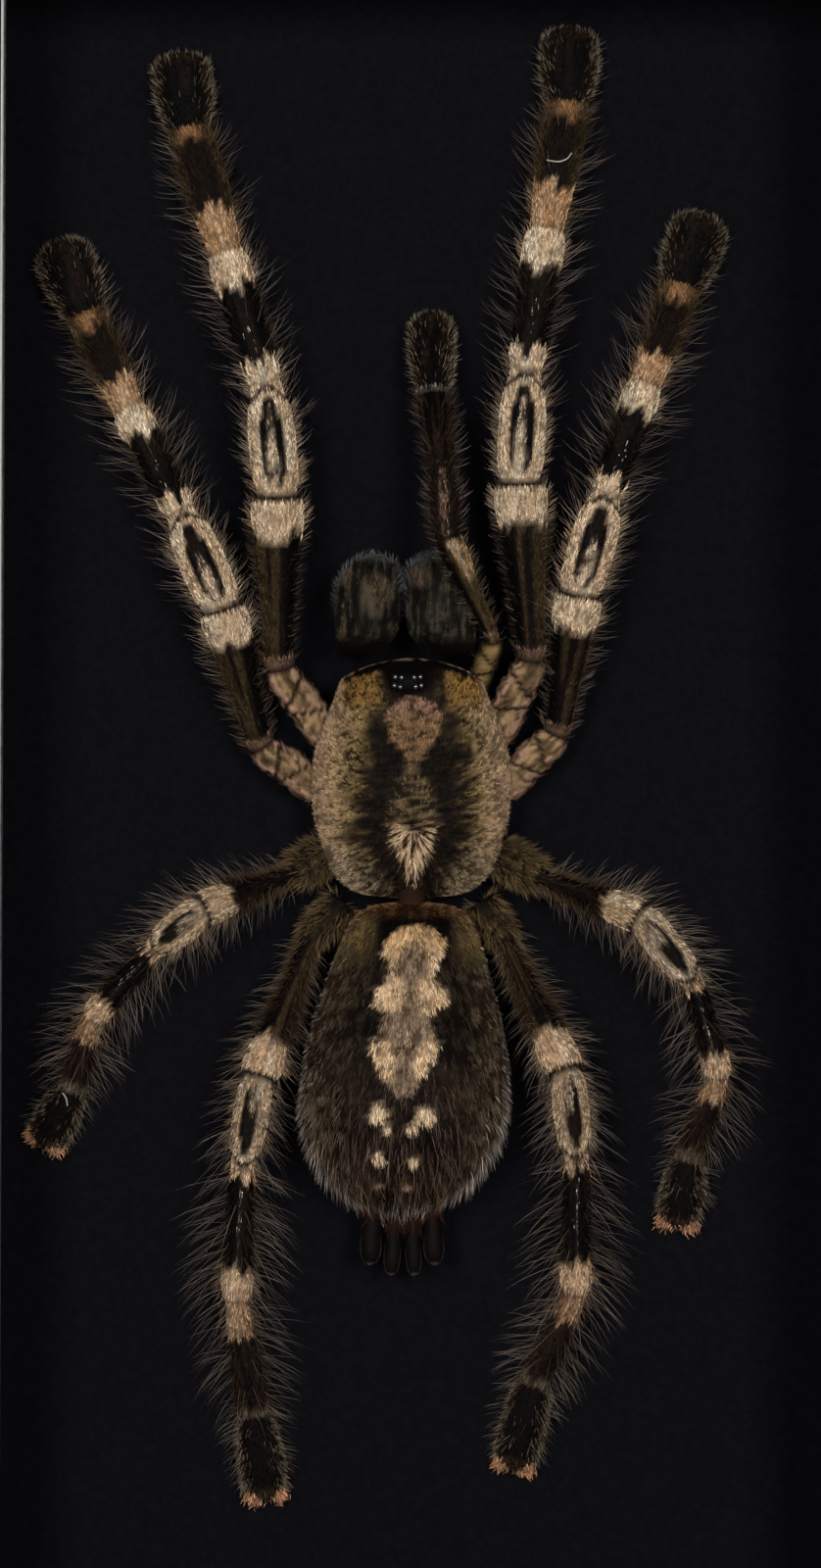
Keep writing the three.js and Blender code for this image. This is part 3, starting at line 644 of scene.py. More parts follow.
# How long the bristles are, as (place along the limb, length)
BRISTLE_LENGTHS = {
    "leg_1": [(0.9, 1), (2, 1.6), (2.6, 3), (3.3, 4), (4.3, 4), (5.1, 2), (6, 0.9)],
    "leg_2": [(0.9, 1.4), (1.6, 2.6), (2.6, 3.4), (3.3, 4.6), (4.3, 4.2), (5.1, 2), (6, 0.9)],
    "leg_3": [(0.9, 2.8), (1.6, 3.8), (2.6, 4.4), (3.3, 5), (4.3, 4.8), (5.1, 2.2), (6, 1.2)],
    "leg_4": [(0.9, 2.6), (1.6, 3.2), (2.6, 4.2), (3.3, 5.8), (4.3, 5.8), (5.1, 2.8), (6, 1.2)],
    "palp": [(0.9, 1), (2, 1.5), (3.3, 2), (4.2, 1.2), (5, 0.8)],
}

# Loose pale threads, through (x, z, height) points
FIBRES = {
    "leg_1_right": [(15.2, 82.9, 7), (16.4, 82.7, 7.6), (17.4, 83, 7.4), (18, 83.7, 6.8)],
    "leg_3_left": [(-39.2, -21.9, 4.4), (-38.8, -22.6, 4.7), (-38.7, -23.3, 4.5)],
}
FIBRE_WIDTH = 0.15
FIBRE_RINGS = 13
FIBRE_SIDES = 6


def middle_line(joints, s):
    """Straight along each segment, and rounded over each joint."""
    count = len(joints) - 1
    segment = np.clip(s.astype(int), 0, count - 1)
    t = (s - segment)[:, None]
    line = joints[segment] * (1 - t) + joints[segment + 1] * t
    for j in range(1, count):
        near = np.abs(s - j) < BEND
        before = joints[j] * (1 - BEND) + joints[j - 1] * BEND
        after = joints[j] * (1 - BEND) + joints[j + 1] * BEND
        u = (0.5 + 0.5 * (s[near] - j) / BEND)[:, None]
        line[near] = (1 - u) ** 2 * before + 2 * u * (1 - u) * joints[j] + u * u * after
    return line


def limb_skin(joint_list, order, widths):
    joints = np.array([spot(*j) for j in joint_list])
    count = len(order)
    s = np.concatenate([
        np.linspace(0.02, count - TIP_DOME, (count - 1) * RINGS_PER_SEGMENT),
        count - TIP_DOME * np.cos(np.linspace(0.12, 1.5, TIP_RINGS))])
    girth = smooth_curve(s, [
        (i + share, widths[i] * g) for i, name in enumerate(order) for share, g in LIMB_SEGMENTS[name][1]])
    flatness = smooth_curve(s, [(i + 0.5, LIMB_SEGMENTS[name][0]) for i, name in enumerate(order)])
    girth = girth * (1 - 0.12 * (hump(0.42, 0.08, s) + hump(0.72, 0.07, s)))
    beyond = np.clip((s - count + TIP_DOME) / TIP_DOME, 0, 1)
    width = (girth - PILE * 1.4) * np.sqrt(1 - beyond ** 2)
    middle = middle_line(joints, s)
    along = unit(np.gradient(middle, axis=0))
    rings, q, top = oval_rings(middle, along, width, width * flatness, LIMB_SIDES)
    return make_skin(rings, middle[0], middle[-1], along[:, None], s=s[:, None], q=q, top=top)


def limb_hairs(node, order, skin, rng, seed):
    """The short pile, the fringe and long bristles at the sides, and a dashed row of pale hairs on the tibia,
    a painted highlight.
    """
    kind = limb_kind(node)
    s, q, top = skin["s"], skin["q"], skin["top"]
    tip = len(order) - 1

    def pile_tone(places):
        speck = noise(places["s"] * 34, places["q"] * 12 + 20, places["top"] * 12 + 20, seed + 5)
        return limb_tone(node, order, places, seed) * (1 - 0.88 * ramp(0.58, 0.68, speck))[:, None]

    def fringe_tone(places):
        colour = mix(tone(66, 54, 42), tone(34, 26, 21), rng.random(len(places["s"])))
        colour = mix(colour, limb_tone(node, order, places, seed), 0.35)
        # Partly their own grey and partly painted rim light: the fringe hairs beyond the tip are pale.
        return mix(colour, RIM_HAIR, 0.65 * (places["s"] > tip + 0.02))

    seen = 0.25 + 0.75 * ramp(-0.5, 0.2, top)
    side = np.abs(q) ** 2.5 * ramp(-0.8, -0.4, top) * ramp(0.9, 1.1, s)
    # Painted highlight: a dashed row of pale hairs along the top of the tibia, standing in for its glints.
    row = hump(3.34, 0.28, s) * hump(0.08, 0.2, q * outer_side(node)) * (top > 0)
    pile = sprout(
        skin, rng, LIMB_PILE._replace(count=PILE_HAIRS[kind]), seen * (1 - 0.75 * plated(kind, s)), pile_tone,
        length=lambda p: np.where(p["s"] > tip, 0.5, LIMB_PILE.length),
        lift=lambda p: np.where(p["s"] > tip, 0.5, LIMB_PILE.lift))
    fringe = sprout(
        skin, rng, LIMB_FRINGE._replace(count=FRINGE_HAIRS[kind]),
        side * (1 + ramp(tip + 0.02, tip + 0.1, s)), fringe_tone,
        length=lambda p: np.where(p["s"] > tip + 0.02, 0.8, LIMB_FRINGE.length))
    bristles = sprout(
        skin, rng, LIMB_BRISTLE._replace(count=BRISTLES[kind]), side + 0.03 * ramp(0, 1, top),
        between(rng, tone(104, 92, 82), tone(54, 44, 38)),
        length=lambda p: smooth_curve(p["s"], BRISTLE_LENGTHS[kind]))
    dashes = sprout(skin, rng, PALP_DASH if kind == "palp" else LEG_DASH, row + 1e-9, GLINT_DASH_HAIR)
    return [pile, fringe, bristles, dashes]


def hind_hairs(node, skin, rng):
    """The shag on the base of a hind leg, and the tufts over its claws."""
    base = ramp(1.75, 1.5, skin["s"]) * np.abs(skin["q"]) ** 1.5 * ramp(-0.8, -0.3, skin["top"])

    def shag_tone(places):
        share = rng.random(HIND_SHAG.count) * ramp(1.6, 0.9, places["s"])
        return mix(tone(42, 30, 21), tone(100, 82, 56), share)

    return [sprout(skin, rng, HIND_SHAG, base, shag_tone)] + claw_tufts(LIMBS[node], rng)


def claw_tufts(joint_list, rng):
    """The reddish tan tufts over the claws, on each side of a leg's tip."""
    wrist, tip = (spot(*j) for j in joint_list[-2:])
    along = unit(tip - wrist)
    across = unit(np.cross(TO_VIEWER, along))
    tufts = []
    for turn in (-1, 1):
        aim = unit(along + turn * 0.5 * across + 0.3 * rng.normal(size=(CLAW_TUFT.count, 3)))
        start = tip + turn * 1.3 * across - 0.8 * along + 0.42 * rng.normal(size=(CLAW_TUFT.count, 3))
        normal = unit(np.cross(aim, across))
        places = {"points": start, "comb": aim, "normal": normal, "side": across + 0 * aim}
        colour = mix(CLAW_TAN, tone(96, 62, 44), rng.random(CLAW_TUFT.count))
        tufts.append(grow(places, rng, CLAW_TUFT, colour))
    return tufts


def fibre(path):
    """A loose pale thread lying on the coat."""
    knots = np.array([spot(*p) for p in path])
    t = np.linspace(0, len(knots) - 1, FIBRE_RINGS)
    middle = np.stack([smooth_curve(t, list(enumerate(knots[:, k]))) for k in range(3)], axis=1)
    width = np.full(FIBRE_RINGS, FIBRE_WIDTH)
    rings, _, _ = oval_rings(middle, unit(np.gradient(middle, axis=0)), width, width, FIBRE_SIDES)
    points, faces = closed_loft(rings, middle[0], middle[-1])
    return points, faces, np.broadcast_to(FIBRE_GREY, points.shape)


def plated(kind, s):
    """1 on the front legs' bare coxal plates, and 0 elsewhere."""
    return ramp(1.06, 0.98, s) * (kind not in HIND)


def limb_coat(node):
    kind = limb_kind(node)
    order = LEG_ORDER if kind != "palp" else PALP_ORDER
    seed = 11 + 7 * list(LIMBS).index(node)
    rng = np.random.default_rng(seed)
    skin = limb_skin(LIMBS[node], order, WIDTHS[kind])
    hairs = limb_hairs(node, order, skin, rng, seed)
    if kind in HIND:
        hairs += hind_hairs(node, skin, rng)
    if node in FIBRES:
        hairs.append(fibre(FIBRES[node]))
    # Painted shade: the skin is darkened to a fifth of its colour under the pile, for the shade between the
    # hairs, and less on the bare coxal plates.
    skin_colour = limb_tone(node, order, skin, seed) * (0.2 + 0.5 * plated(kind, skin["s"]))[:, None]
    coated_piece(f"{node}_coat", node, skin, skin_colour, hairs, leg_skin)


# The front body

PROSOMA_SIDES = 84
PROSOMA_RINGS = 110
SKIN_INSET = 0.25
CARAPACE_SEED = 41
CARAPACE_PILE = Hair(40000, 0.5, 0.08, 0.26, 0.2)
CARAPACE_TUFT = Hair(1200, 0.95, 0.1, 0.3, 0.14, 0.1, 2)
CARAPACE_RIM = Hair(900, 0.6, 0.055, 0.3, 0.3)
PEDICEL_SIDES = 20
PEDICEL_RINGS = 9
EYE_RADIUS = 0.34
EYE_SINK = 0.1
EYE_SIDES = 16
EYE_RINGS = 9

# The pale stripe of the carapace, as (z, half width)
STRIPE = [
    (0.8, 0), (1.5, 0.4), (4.1, 1.2), (5.7, 2), (7, 2.5), (8.2, 2.6), (9.4, 2.8), (11, 2.6),
    (12.7, 2.1), (14, 0.9), (14.8, 0.6), (16.3, 1.35), (18, 2.4), (20.2, 3.1), (21.3, 2.6),
    (22.3, 1.2), (22.8, 0)]

# The carapace's furrows, as (degrees from the head, depth), and how far its dark flanks reach, as (z, x)
FURROWS = ((33, 0.28), (68, 0.16), (102, 0.16), (140, 0.14))
DARK_FLANK = [(0, 2.4), (3, 4.2), (8, 6.3), (14, 6.2), (18, 5.2), (21, 4.2), (25, 4)]


def carapace_relief(x, z):
    """How far the back's furrows sink below its smooth shape."""
    dx, dz = x - FOVEA_X, z - FOVEA_Z
    pit = 0.9 * np.exp(-(dx / 0.75) ** 2 - (dz / 0.45) ** 2)
    reach = np.hypot(dx, dz)
    angle = np.degrees(np.arctan2(np.abs(dx), dz))
    furrows = sum(
        depth * np.exp(-((angle - way) * np.radians(1) * reach / 0.55) ** 2) for way, depth in FURROWS)
    groove = 0.25 * ramp(1.6, 0.2, np.abs(dx)) * (ramp(0, 2, dz) * ramp(13, 8, dz))
    return pit + furrows * ramp(0.8, 3, reach) * ramp(11, 6.5, reach) + groove


def prosoma_skin():
    z = smooth_curve(
        np.linspace(0, 1, PROSOMA_RINGS), [(0, 0.1), (0.1, 0.9), (0.5, 13), (0.88, 25.3), (1, 26.8)])
    half, back, edge = (column(z, PROSOMA_SECTIONS, k) for k in (1, 2, 3))
    half, back = half - SKIN_INSET, back - SKIN_INSET
    angle = -2 * math.pi * np.arange(PROSOMA_SIDES) / PROSOMA_SIDES
    over = np.sin(angle) >= -1e-9
    power = np.where(over, 0.85, 1.15)
    inset = np.where(over, 1, 0.93)
    x = half[:, None] * (np.sign(np.cos(angle)) * np.abs(np.cos(angle)) ** power * inset)[None]
    rise = np.where(over[None], (back - edge)[:, None], (edge - PROSOMA_BELLY)[:, None])
    height = edge[:, None] + rise * np.sin(angle)[None]
    depth = np.broadcast_to(z[:, None], x.shape)
    height = height - np.where(over[None], carapace_relief(x, depth) * ramp(0, 0.35, np.sin(angle))[None], 0)
    mound_x, mound_z, mound_height = TUBERCLE["radii"]
    eye_x, eye_z = (x - TUBERCLE["x"]) / mound_x, (depth - TUBERCLE["z"]) / mound_z
    mound = mound_height * np.sqrt(np.clip(1 - eye_x ** 2 - eye_z ** 2, 0, 1))
    on_mound = (TUBERCLE["height"] - SKIN_INSET + mound) * (mound > 0)
    height = np.where(over[None], np.maximum(height, on_mound), height)
    comb = np.stack([x - FOVEA_X, 0 * x, depth - FOVEA_Z], axis=-1) + 1e-6
    return make_skin(
        spot(x, depth, height), *(spot(*end) for end in PROSOMA_ENDS), comb, top=np.sin(angle)[None],
        edge=np.abs(x) / np.maximum(half[:, None], 0.1))


def flank_tone(x, z, edge, rays, fine, speck):
    """The carapace beside its stripe: pale and specked outside, dark inside, with golden corners in front."""
    size = np.abs(x)
    blotch = plane_noise(x, z, 0.5, CARAPACE_SEED + 2)
    margin = ramp(0.55, 0.97, edge)
    reach = smooth_curve(z, DARK_FLANK)
    return paint(
        tone(138, 114, 74), (tone(162, 134, 104), margin), (tone(134, 118, 96), 0.7 * ramp(8, 2, z)),
        (tone(22, 15, 9), (1 - 0.35 * margin) * ramp(0.5, 0.58, speck + 0.3 * (rays - 0.5))),
        (mix(SOOT, tone(34, 24, 15), ramp(0.5, 0.7, speck)),
         ramp(reach + 2.2, reach - 1.6, size + 1.6 * (blotch - 0.5) + 3.2 * (rays - 0.5))),
        (mix(tone(130, 98, 52), tone(44, 30, 14), ramp(0.5, 0.62, speck)),
         ramp(3.2, 4.2, size + 0.8 * (fine - 0.5)) * ramp(20.2, 22.6, z) * ramp(8.6, 7.2, size)))


def stripe_tone(x, z, rays, speck):
    """The stripe: pinkish in front, streaked in the middle, and a pale tuft behind the fovea."""
    dotted = np.maximum(0.9 * ramp(0.52, 0.6, speck), 0.9 * hump(0, 0.3, x) * ramp(10, 13, z))
    streaked = ramp(0.45, 0.55, rays + 0.3 * (speck - 0.5)) * ramp(15.5, 13.5, z) * ramp(8, 9, z)
    tuft = mix(tone(170, 143, 113), tone(30, 20, 13), ramp(0.46, 0.58, rays + 0.5 * (speck - 0.5)))
    return paint(
        tone(132, 102, 70), (tone(140, 106, 86), ramp(19.5, 21.5, z)),
        (tone(104, 90, 64), 0.8 * ramp(15.5, 13.5, z) * ramp(8, 9.5, z)),
        (tone(22, 15, 10), 0.97 * np.maximum(dotted, streaked)), (tuft, ramp(8.6, 8, z)))


def carapace_tone(places):
    x, z, edge, top = places["x"] - FOVEA_X, places["z"], places["edge"], places["top"]
    size = np.abs(x)
    turn = np.arctan2(x, z - FOVEA_Z)
    rays = noise(turn * 17 + 30, np.hypot(x, z - FOVEA_Z) * 0.7, 0 * x, CARAPACE_SEED)
    fine = plane_noise(x, z, 2.6, CARAPACE_SEED + 1)
    speck = plane_noise(x, z, 4.4, CARAPACE_SEED + 3)
    frayed = ramp(15, 13, z)
    half = smooth_curve(z, STRIPE) + 0.4 * (fine - 0.5) + (0.4 + 1.4 * frayed) * (rays - 0.5)
    stripe = ramp(half + 0.15 + 0.3 * frayed, half - 0.2 - 0.5 * frayed, size) * (half > 0.3)
    brow = z + 0.028 * size * size
    lip = ramp(0.9, 0.97, edge) * ramp(22.5, 24, z) * ramp(-0.1, 0.1, top) * ramp(0.5, 0.3, top)
    return paint(
        flank_tone(x, z, edge, rays, fine, speck), (stripe_tone(x, z, rays, speck), stripe),
        (SOOT, patch(x, z - FOVEA_Z - 0.35, 1, 0.6)), (SOOT, patch(x + 0.6, z - 24.6, 3.1, 1.7, 6)),
        (SOOT, ramp(25.6, 26, brow)),
        (tone(132, 108, 86), 0.8 * np.maximum(lip, ramp(26.55, 26.7, z)) * ramp(0.3, 0.6, fine)),
        (UMBER, 0.85 * ramp(0.02, -0.15, top)))


def front_body_coat():
    rng = np.random.default_rng(301)
    skin = prosoma_skin()
    x, z, edge, top = skin["x"], skin["z"], skin["edge"], skin["top"]
    seen = 0.1 + 0.9 * ramp(-0.15, 0.1, top)
    near_eyes = patch(x - TUBERCLE["x"], z - 24.3, 2.2, 1.6)
    near_tuft = patch(x - FOVEA_X, z - 5.2, 1.9, 2.6)
    rim = ramp(0.9, 1, edge) * ramp(-0.3, 0, top) * ramp(0.5, 0.1, top)
    hairs = [
        sprout(skin, rng, CARAPACE_PILE, seen * (1 - 0.9 * near_eyes), carapace_tone),
        sprout(skin, rng, CARAPACE_TUFT, near_tuft * (top > 0), carapace_tone),
        sprout(skin, rng, CARAPACE_RIM, rim, lambda p: between(rng, ROSE, ASH)(p) * 0.4), pedicel()]
    # Painted shade: the skin under the pile is darkened, for the shade between the hairs.
    coated_piece("front_body", "prosoma", skin, carapace_tone(skin) * 0.35, hairs, body_skin)


def pedicel():
    """The stalk between the front body and the abdomen."""
    z = np.linspace(1.6, -1.9, PEDICEL_RINGS)
    middle = spot(0 * z, z, PEDICEL_HEIGHT)
    width = 2 * PEDICEL_RADIUS * (0.9 + 0.1 * np.cos(np.linspace(0, 2 * math.pi, PEDICEL_RINGS)))
    rings, _, _ = oval_rings(middle, -TO_HEAD, width, width, PEDICEL_SIDES)
    points, faces = closed_loft(rings, middle[0], middle[-1])
    return points, faces, np.broadcast_to(tone(26, 14, 10), points.shape)


def eyes():
    """Eight glossy eyes on the tubercle."""
    rx, rz, rh = TUBERCLE["radii"]
    lat = np.linspace(-1.35, 1.35, EYE_RINGS)
    width = 2 * EYE_RADIUS * np.cos(lat)
    parts = []
    for turn in (-1, 1):
        for across, forwards in EYES:
            rise = rh * math.sqrt(1 - ((across / rx) ** 2 + (forwards / rz) ** 2))
            height = TUBERCLE["height"] - EYE_SINK + rise
            centre = spot(TUBERCLE["x"] + turn * across, TUBERCLE["z"] + forwards, height)
            reach = EYE_RADIUS * TO_HEAD
            rings, _, _ = oval_rings(centre + np.sin(lat)[:, None] * reach, TO_HEAD, width, width, EYE_SIDES)
            parts.append(closed_loft(rings, centre - reach, centre + reach))
    points, faces = joined(parts)
    settle(mesh_piece("eyes", points, faces, np.zeros(len(faces), bool), [eye_gloss]))


# The abdomen

ABDOMEN_SIDES = 72
ABDOMEN_RINGS = 96
ABDOMEN_INSET = 0.45
ABDOMEN_SEED = 61
ABDOMEN_PILE = Hair(46000, 0.75, 0.08, 0.32, 0.24)
ABDOMEN_STRANDS = Hair(1500, 0, 0.055, 0.36, 0.22, 0.1, 2)
ABDOMEN_RIM = Hair(900, 0, 0.055, 0.3, 0.25, 0.1, 2)

# The folium, its darker inside and its middle line, as (z, half width or x)
FOLIUM = [
    (-2.7, 0), (-3.1, 1.6), (-3.9, 2.7), (-5, 3.4), (-5.9, 3.4), (-6.6, 2.9), (-7.6, 2.6), (-8.6, 2.4),
    (-9.4, 3.1), (-10.5, 4.1), (-11.3, 4.2), (-12.1, 3.5), (-12.9, 2.6), (-14.4, 2.7), (-15.4, 2.9),
    (-16, 3.7), (-17, 3.8), (-17.7, 3.3), (-18.6, 3), (-19.4, 2.5), (-20.2, 1.6), (-21.4, 1.1), (-22.4, 0)]
FOLIUM_INSIDE = [
    (-4.4, 0), (-5.4, 1.3), (-6.8, 1.8), (-8.2, 1.9), (-9.2, 0.9), (-10.8, 0.6), (-11.8, 1), (-12.6, 2),
    (-13.2, 2.9), (-15.2, 2.9), (-15.9, 1.7), (-17, 1.1), (-18.6, 0.9), (-19.6, 1.4), (-20.4, 2.2),
    (-22.4, 0.5)]
FOLIUM_MIDDLE = [(-3, 0.5), (-5.4, 0.33), (-11, -0.15), (-17.2, -0.85), (-22.5, -1.05)]

# The pale spots behind it, as (x, z, half width, half length)
ABDOMEN_SPOTS = [
    (-3.65, -23.8, 1.25, 1.2), (1.45, -24.2, 1.2, 1.15), (-2.7, -25.6, 0.5, 0.6), (0.1, -25.5, 0.7, 0.6),
    (-3.6, -28.9, 0.8, 0.75), (0.2, -29.3, 0.7, 0.65), (-3.7, -31.9, 0.7, 0.3), (-0.7, -32.1, 0.7, 0.3)]


def abdomen_skin():
    z = smooth_curve(
        np.linspace(0, 1, ABDOMEN_RINGS), [(0, -0.6), (0.1, -2), (0.5, -17.5), (0.9, -33.6), (1, -35.4)])
    half = smooth_curve(z, ABDOMEN_SECTIONS) - ABDOMEN_INSET
    middle = spot(ABDOMEN_X + ABDOMEN_SLANT * z, z, ABDOMEN_HEIGHT + ABDOMEN_RISE * half)
    rings, q, top = oval_rings(middle, -TO_HEAD, 2 * half, 2 * half * ABDOMEN_DEPTH_SHARE, ABDOMEN_SIDES)
    comb = np.zeros_like(rings)
    comb[..., 0] = 0.035 * (rings[..., 0] - middle[:, None, 0])
    comb[..., 2] = -1
    return make_skin(rings, middle[0] + 0.2 * TO_HEAD, middle[-1] - 0.2 * TO_HEAD, comb, q=q, top=top)


def abdomen_noise(x, z, scale, step):
    return plane_noise(x, z, scale, ABDOMEN_SEED + step, (40, 60))


def abdomen_ground(px, z, size, side, streak):
    """The abdomen beside its folium: dark, streaked with paler hair, golden at the shoulders, and paler
    towards its outline, partly painted rim light.
    """
    blotch = abdomen_noise(px, z, 0.35, 3)
    rear = ramp(-15, -27, z)
    dark = paint(SOOT, (UMBER, 0.6 * ramp(0.3, 0.8, blotch)), (UMBER, 0.5 * side))
    hair = paint(tone(78, 66, 48), (tone(90, 80, 62), side), (tone(66, 50, 40), rear * (1 - side)))
    band = hump(0.5, 0.45, ((-z - 0.55 * size) / 4.4) % 1) * ramp(4, 7, size) * ramp(-6, -10, z)
    share = 0.26 + 0.4 * side + 0.12 * rear - 0.25 * band
    shoulder = ramp(-8.5, -3, z) * ramp(3.2, 5.6, size)
    hollow = ramp(-7.5, -5, z) * ramp(-1, -2.2, z) * ramp(5, 3.4, size)
    return paint(
        dark, (hair, ramp(0.46, 0.62, streak) * np.clip(share + 0.16 * (blotch - 0.5), 0.05, 0.9)),
        (mix(tone(112, 92, 56), UMBER, 0.7 * ramp(0.4, 0.6, streak)), 0.85 * shoulder), (SOOT, hollow),
        (mix(tone(58, 34, 20), tone(104, 78, 50), 0.7 * ramp(0.45, 0.6, streak)), 0.85 * ramp(-2.4, -1.4, z)))


def folium_tone(z, size, fine, streak):
    cream = paint(
        tone(222, 180, 136), (PALE, 0.4 * ramp(0.35, 0.7, fine)),
        (tone(200, 154, 96), 0.6 * ramp(-7.5, -4, z)), (mix(UMBER, ASH, 0.55), ramp(-19.6, -20.6, z)))
    inner = mix(tone(152, 128, 104), tone(104, 84, 66), ramp(0.4, 0.65, streak))
    inside = smooth_curve(z, FOLIUM_INSIDE) + 0.7 * (fine - 0.5)
    return paint(
        cream, (inner, ramp(inside + 0.3, inside - 0.3, size) * ramp(-4.2, -5.4, z)),
        (tone(58, 40, 28), 0.7 * ramp(0.6, 0.7, streak + 0.4 * (fine - 0.5))))


def abdomen_tone(places):
    px, z = places["x"], places["z"]
    x = px - smooth_curve(z, FOLIUM_MIDDLE)
    size = np.abs(x)
    # side grows towards the outline as seen from the front. The ground is paler there, partly its own paler
    # hair and partly painted rim light.
    side = ramp(0.35, 0.95, np.abs(places["q"]))
    wave = abdomen_noise(px, z, 1.6, 0)
    fine = abdomen_noise(px, z, 4, 1)
    slope = px + 0.12 * np.sign(x) * z
    streak = noise(slope * 5.2 + 60, z * 1.3 + 60, 0 * z, ABDOMEN_SEED + 2)
    outside = smooth_curve(z, FOLIUM) + 0.8 * (wave - 0.5) + 0.7 * (fine - 0.5)
    marked = ramp(outside + 0.12, outside - 0.12, size) * ramp(-2.6, -2.9, z) * ramp(-22.4, -21, z)
    colour = paint(
        abdomen_ground(px, z, size, side, streak), (folium_tone(z, size, fine, streak), marked),
        (SOOT, 0.9 * hump(-16.3, 0.4, z + 0.15 * x * x) * ramp(1.7, 1.2, size)))
    for spot_x, spot_z, rx, rz in ABDOMEN_SPOTS:
        away = np.hypot((px - spot_x) / rx, (z - spot_z) / rz) + 0.6 * (fine - 0.5)
        colour = mix(colour, mix(CREAM, ROSE, ramp(-29, -32, z)), 0.95 * ramp(1.05, 0.75, away))
    return colour


def abdomen_coat():
    rng = np.random.default_rng(302)
    skin = abdomen_skin()
    z, q, top = skin["z"], skin["q"], skin["top"]
    outline = ramp(0.84, 1, np.abs(q)) * (0.35 + 0.65 * ramp(-12, -27, z))
    outline = np.maximum(outline, ramp(-33.4, -34.6, z)) * ramp(-0.6, 0, top)
    hairs = [
        sprout(
            skin, rng, ABDOMEN_PILE, 0.2 + 0.8 * ramp(-0.6, 0, top),
            lambda p: abdomen_tone(p) * rng.uniform(0.55, 1.5, ABDOMEN_PILE.count)[:, None]),
        sprout(
            skin, rng, ABDOMEN_STRANDS, (0.05 + 0.95 * ramp(-12, -30, z)) * ramp(-0.7, -0.2, top),
            between(rng, tone(40, 28, 22), tone(116, 96, 82), 1.5),
            length=lambda p: 1.2 + ramp(-8, -28, p["z"])),
        # Partly their own grey and partly painted rim light: pale hairs along the outline and the rear end.
        sprout(
            skin, rng, ABDOMEN_RIM, outline, between(rng, tone(44, 38, 33), tone(168, 156, 146), 1.4),
            flare=0.6, length=lambda p: 0.6 + 1.2 * ramp(-16, -32, p["z"]))]
    # Painted shade: the skin under the pile is darkened, for the shade between the hairs.
    coated_piece("abdomen_coat", "abdomen", skin, abdomen_tone(skin) * 0.25, hairs, body_skin)


# The jaws and the spinnerets

JAW_SIDES = 40
JAW_RINGS = 48
JAW_INSET = 0.2
JAW_DEPTH_INSET = 0.25
JAW_PILE = Hair(9000, 0.55, 0.075, 0.3, 0.12)
JAW_RIM = Hair(420, 0.85, 0.045, 0.3, 0.3, 0.1, 2)
SPINNERET_SIDES = 24
SPINNERET_RINGS = 34
SPINNERET_PILE = Hair(900, 0.26, 0.05, 0.4, 0.2)
SPINNERET_SHAG = Hair(160, 1.3, 0.06, 0.4, 0.3, 0.1, 2)
SPINNERET_GIRTH = [
    (0, 0.62), (0.3, 0.74), (0.65, 0.97), (0.78, 1), (0.87, 0.9), (0.94, 0.68), (0.98, 0.42), (1, 0.1)]


def jaw_tone(places, side):
    centre, half_width, outer = CHELICERAE[side]
    patch_x, patch_z, patch_size = JAW_PATCH[side]
    px, pz = places["x"], places["z"]
    streak = noise(px * 3.4 + 20, pz * 0.5, 0 * px, 71)
    fine = noise(px * 7 + 40, pz * 2, 0 * px, 72)
    away = np.hypot((px - patch_x) / patch_size, (pz - patch_z) / patch_size / 1.15)
    outwards = (px - centre) * outer / half_width
    return paint(
        tone(21, 19, 15), (tone(58, 53, 43), ramp(0.4, 0.7, streak)),
        (mix(tone(76, 58, 42), tone(92, 78, 62), streak), 0.8 * ramp(1.2, 0.6, away)),
        (SOOT, 0.7 * hump(1.45, 0.3, away) * ramp(patch_z, patch_z - 2, pz)),
        (tone(84, 72, 56), 0.6 * hump(0.72, 0.3, outwards) * ramp(0.4, 0.6, streak)),
        (SOOT, 0.7 * ramp(0.6, 0.72, fine)),
        (tone(66, 67, 65), 0.7 * ramp(37.5, 38.1, pz + 0.05 * (px - centre) ** 2)),
        # Painted shadow: the jaw goes dark towards its base.
        (SOOT, ramp(30, 28.2, pz)))


def jaw_coat(side):
    x, half_width, outer = CHELICERAE[side]
    rng = np.random.default_rng(400 + (side == "left"))
    z = smooth_curve(np.linspace(0, 1, JAW_RINGS), [(0, 27.2), (0.5, 33), (0.85, 37.4), (1, 38.4)])
    outwards, inwards, depth = (column(z, CHELICERA_SECTIONS, k) for k in (1, 2, 3))
    middle = spot(x + outer * half_width * (outwards - inwards) / 2, z, CHELICERA_HEIGHT)
    width = half_width * (outwards + inwards) - 2 * JAW_INSET
    rings, q, top = oval_rings(middle, TO_HEAD, width, 2 * (depth - JAW_DEPTH_INSET), JAW_SIDES)
    skin = make_skin(rings, middle[0], middle[-1] + 0.15 * TO_HEAD, TO_HEAD, q=q, top=top)
    outline = ramp(0.6, 0.1, np.abs(skin["top"])) * ramp(29, 37, skin["z"])
    grey = between(rng, tone(30, 30, 29), tone(92, 94, 94))
    seen = 0.2 + 0.8 * ramp(-0.4, 0.1, skin["top"])
    pile = sprout(skin, rng, JAW_PILE, seen, lambda p: jaw_tone(p, side))
    # Painted shade: the rim hairs darken towards the jaw's base.
    fringe = sprout(skin, rng, JAW_RIM, outline, lambda p: grey(p) * ramp(29, 38, p["z"])[:, None], flare=0.8)
    name = f"chelicera_{side}"
    # Painted shade: the skin under the pile is darkened, for the shade between the hairs.
    coated_piece(f"{name}_coat", name, skin, jaw_tone(skin, side) * 0.4, [pile, fringe], body_skin)


def spinneret_tone(places):
    t = places["t"]
    rim = ramp(0.955, 0.99, t) + ramp(0.88, 1, np.abs(places["q"])) * ramp(0.5, 0.9, t)
    return paint(
        tone(13, 9, 8), (tone(36, 17, 12), ramp(0.45, 0.15, t)), (tone(92, 89, 86), 0.6 * np.clip(rim, 0, 1)))


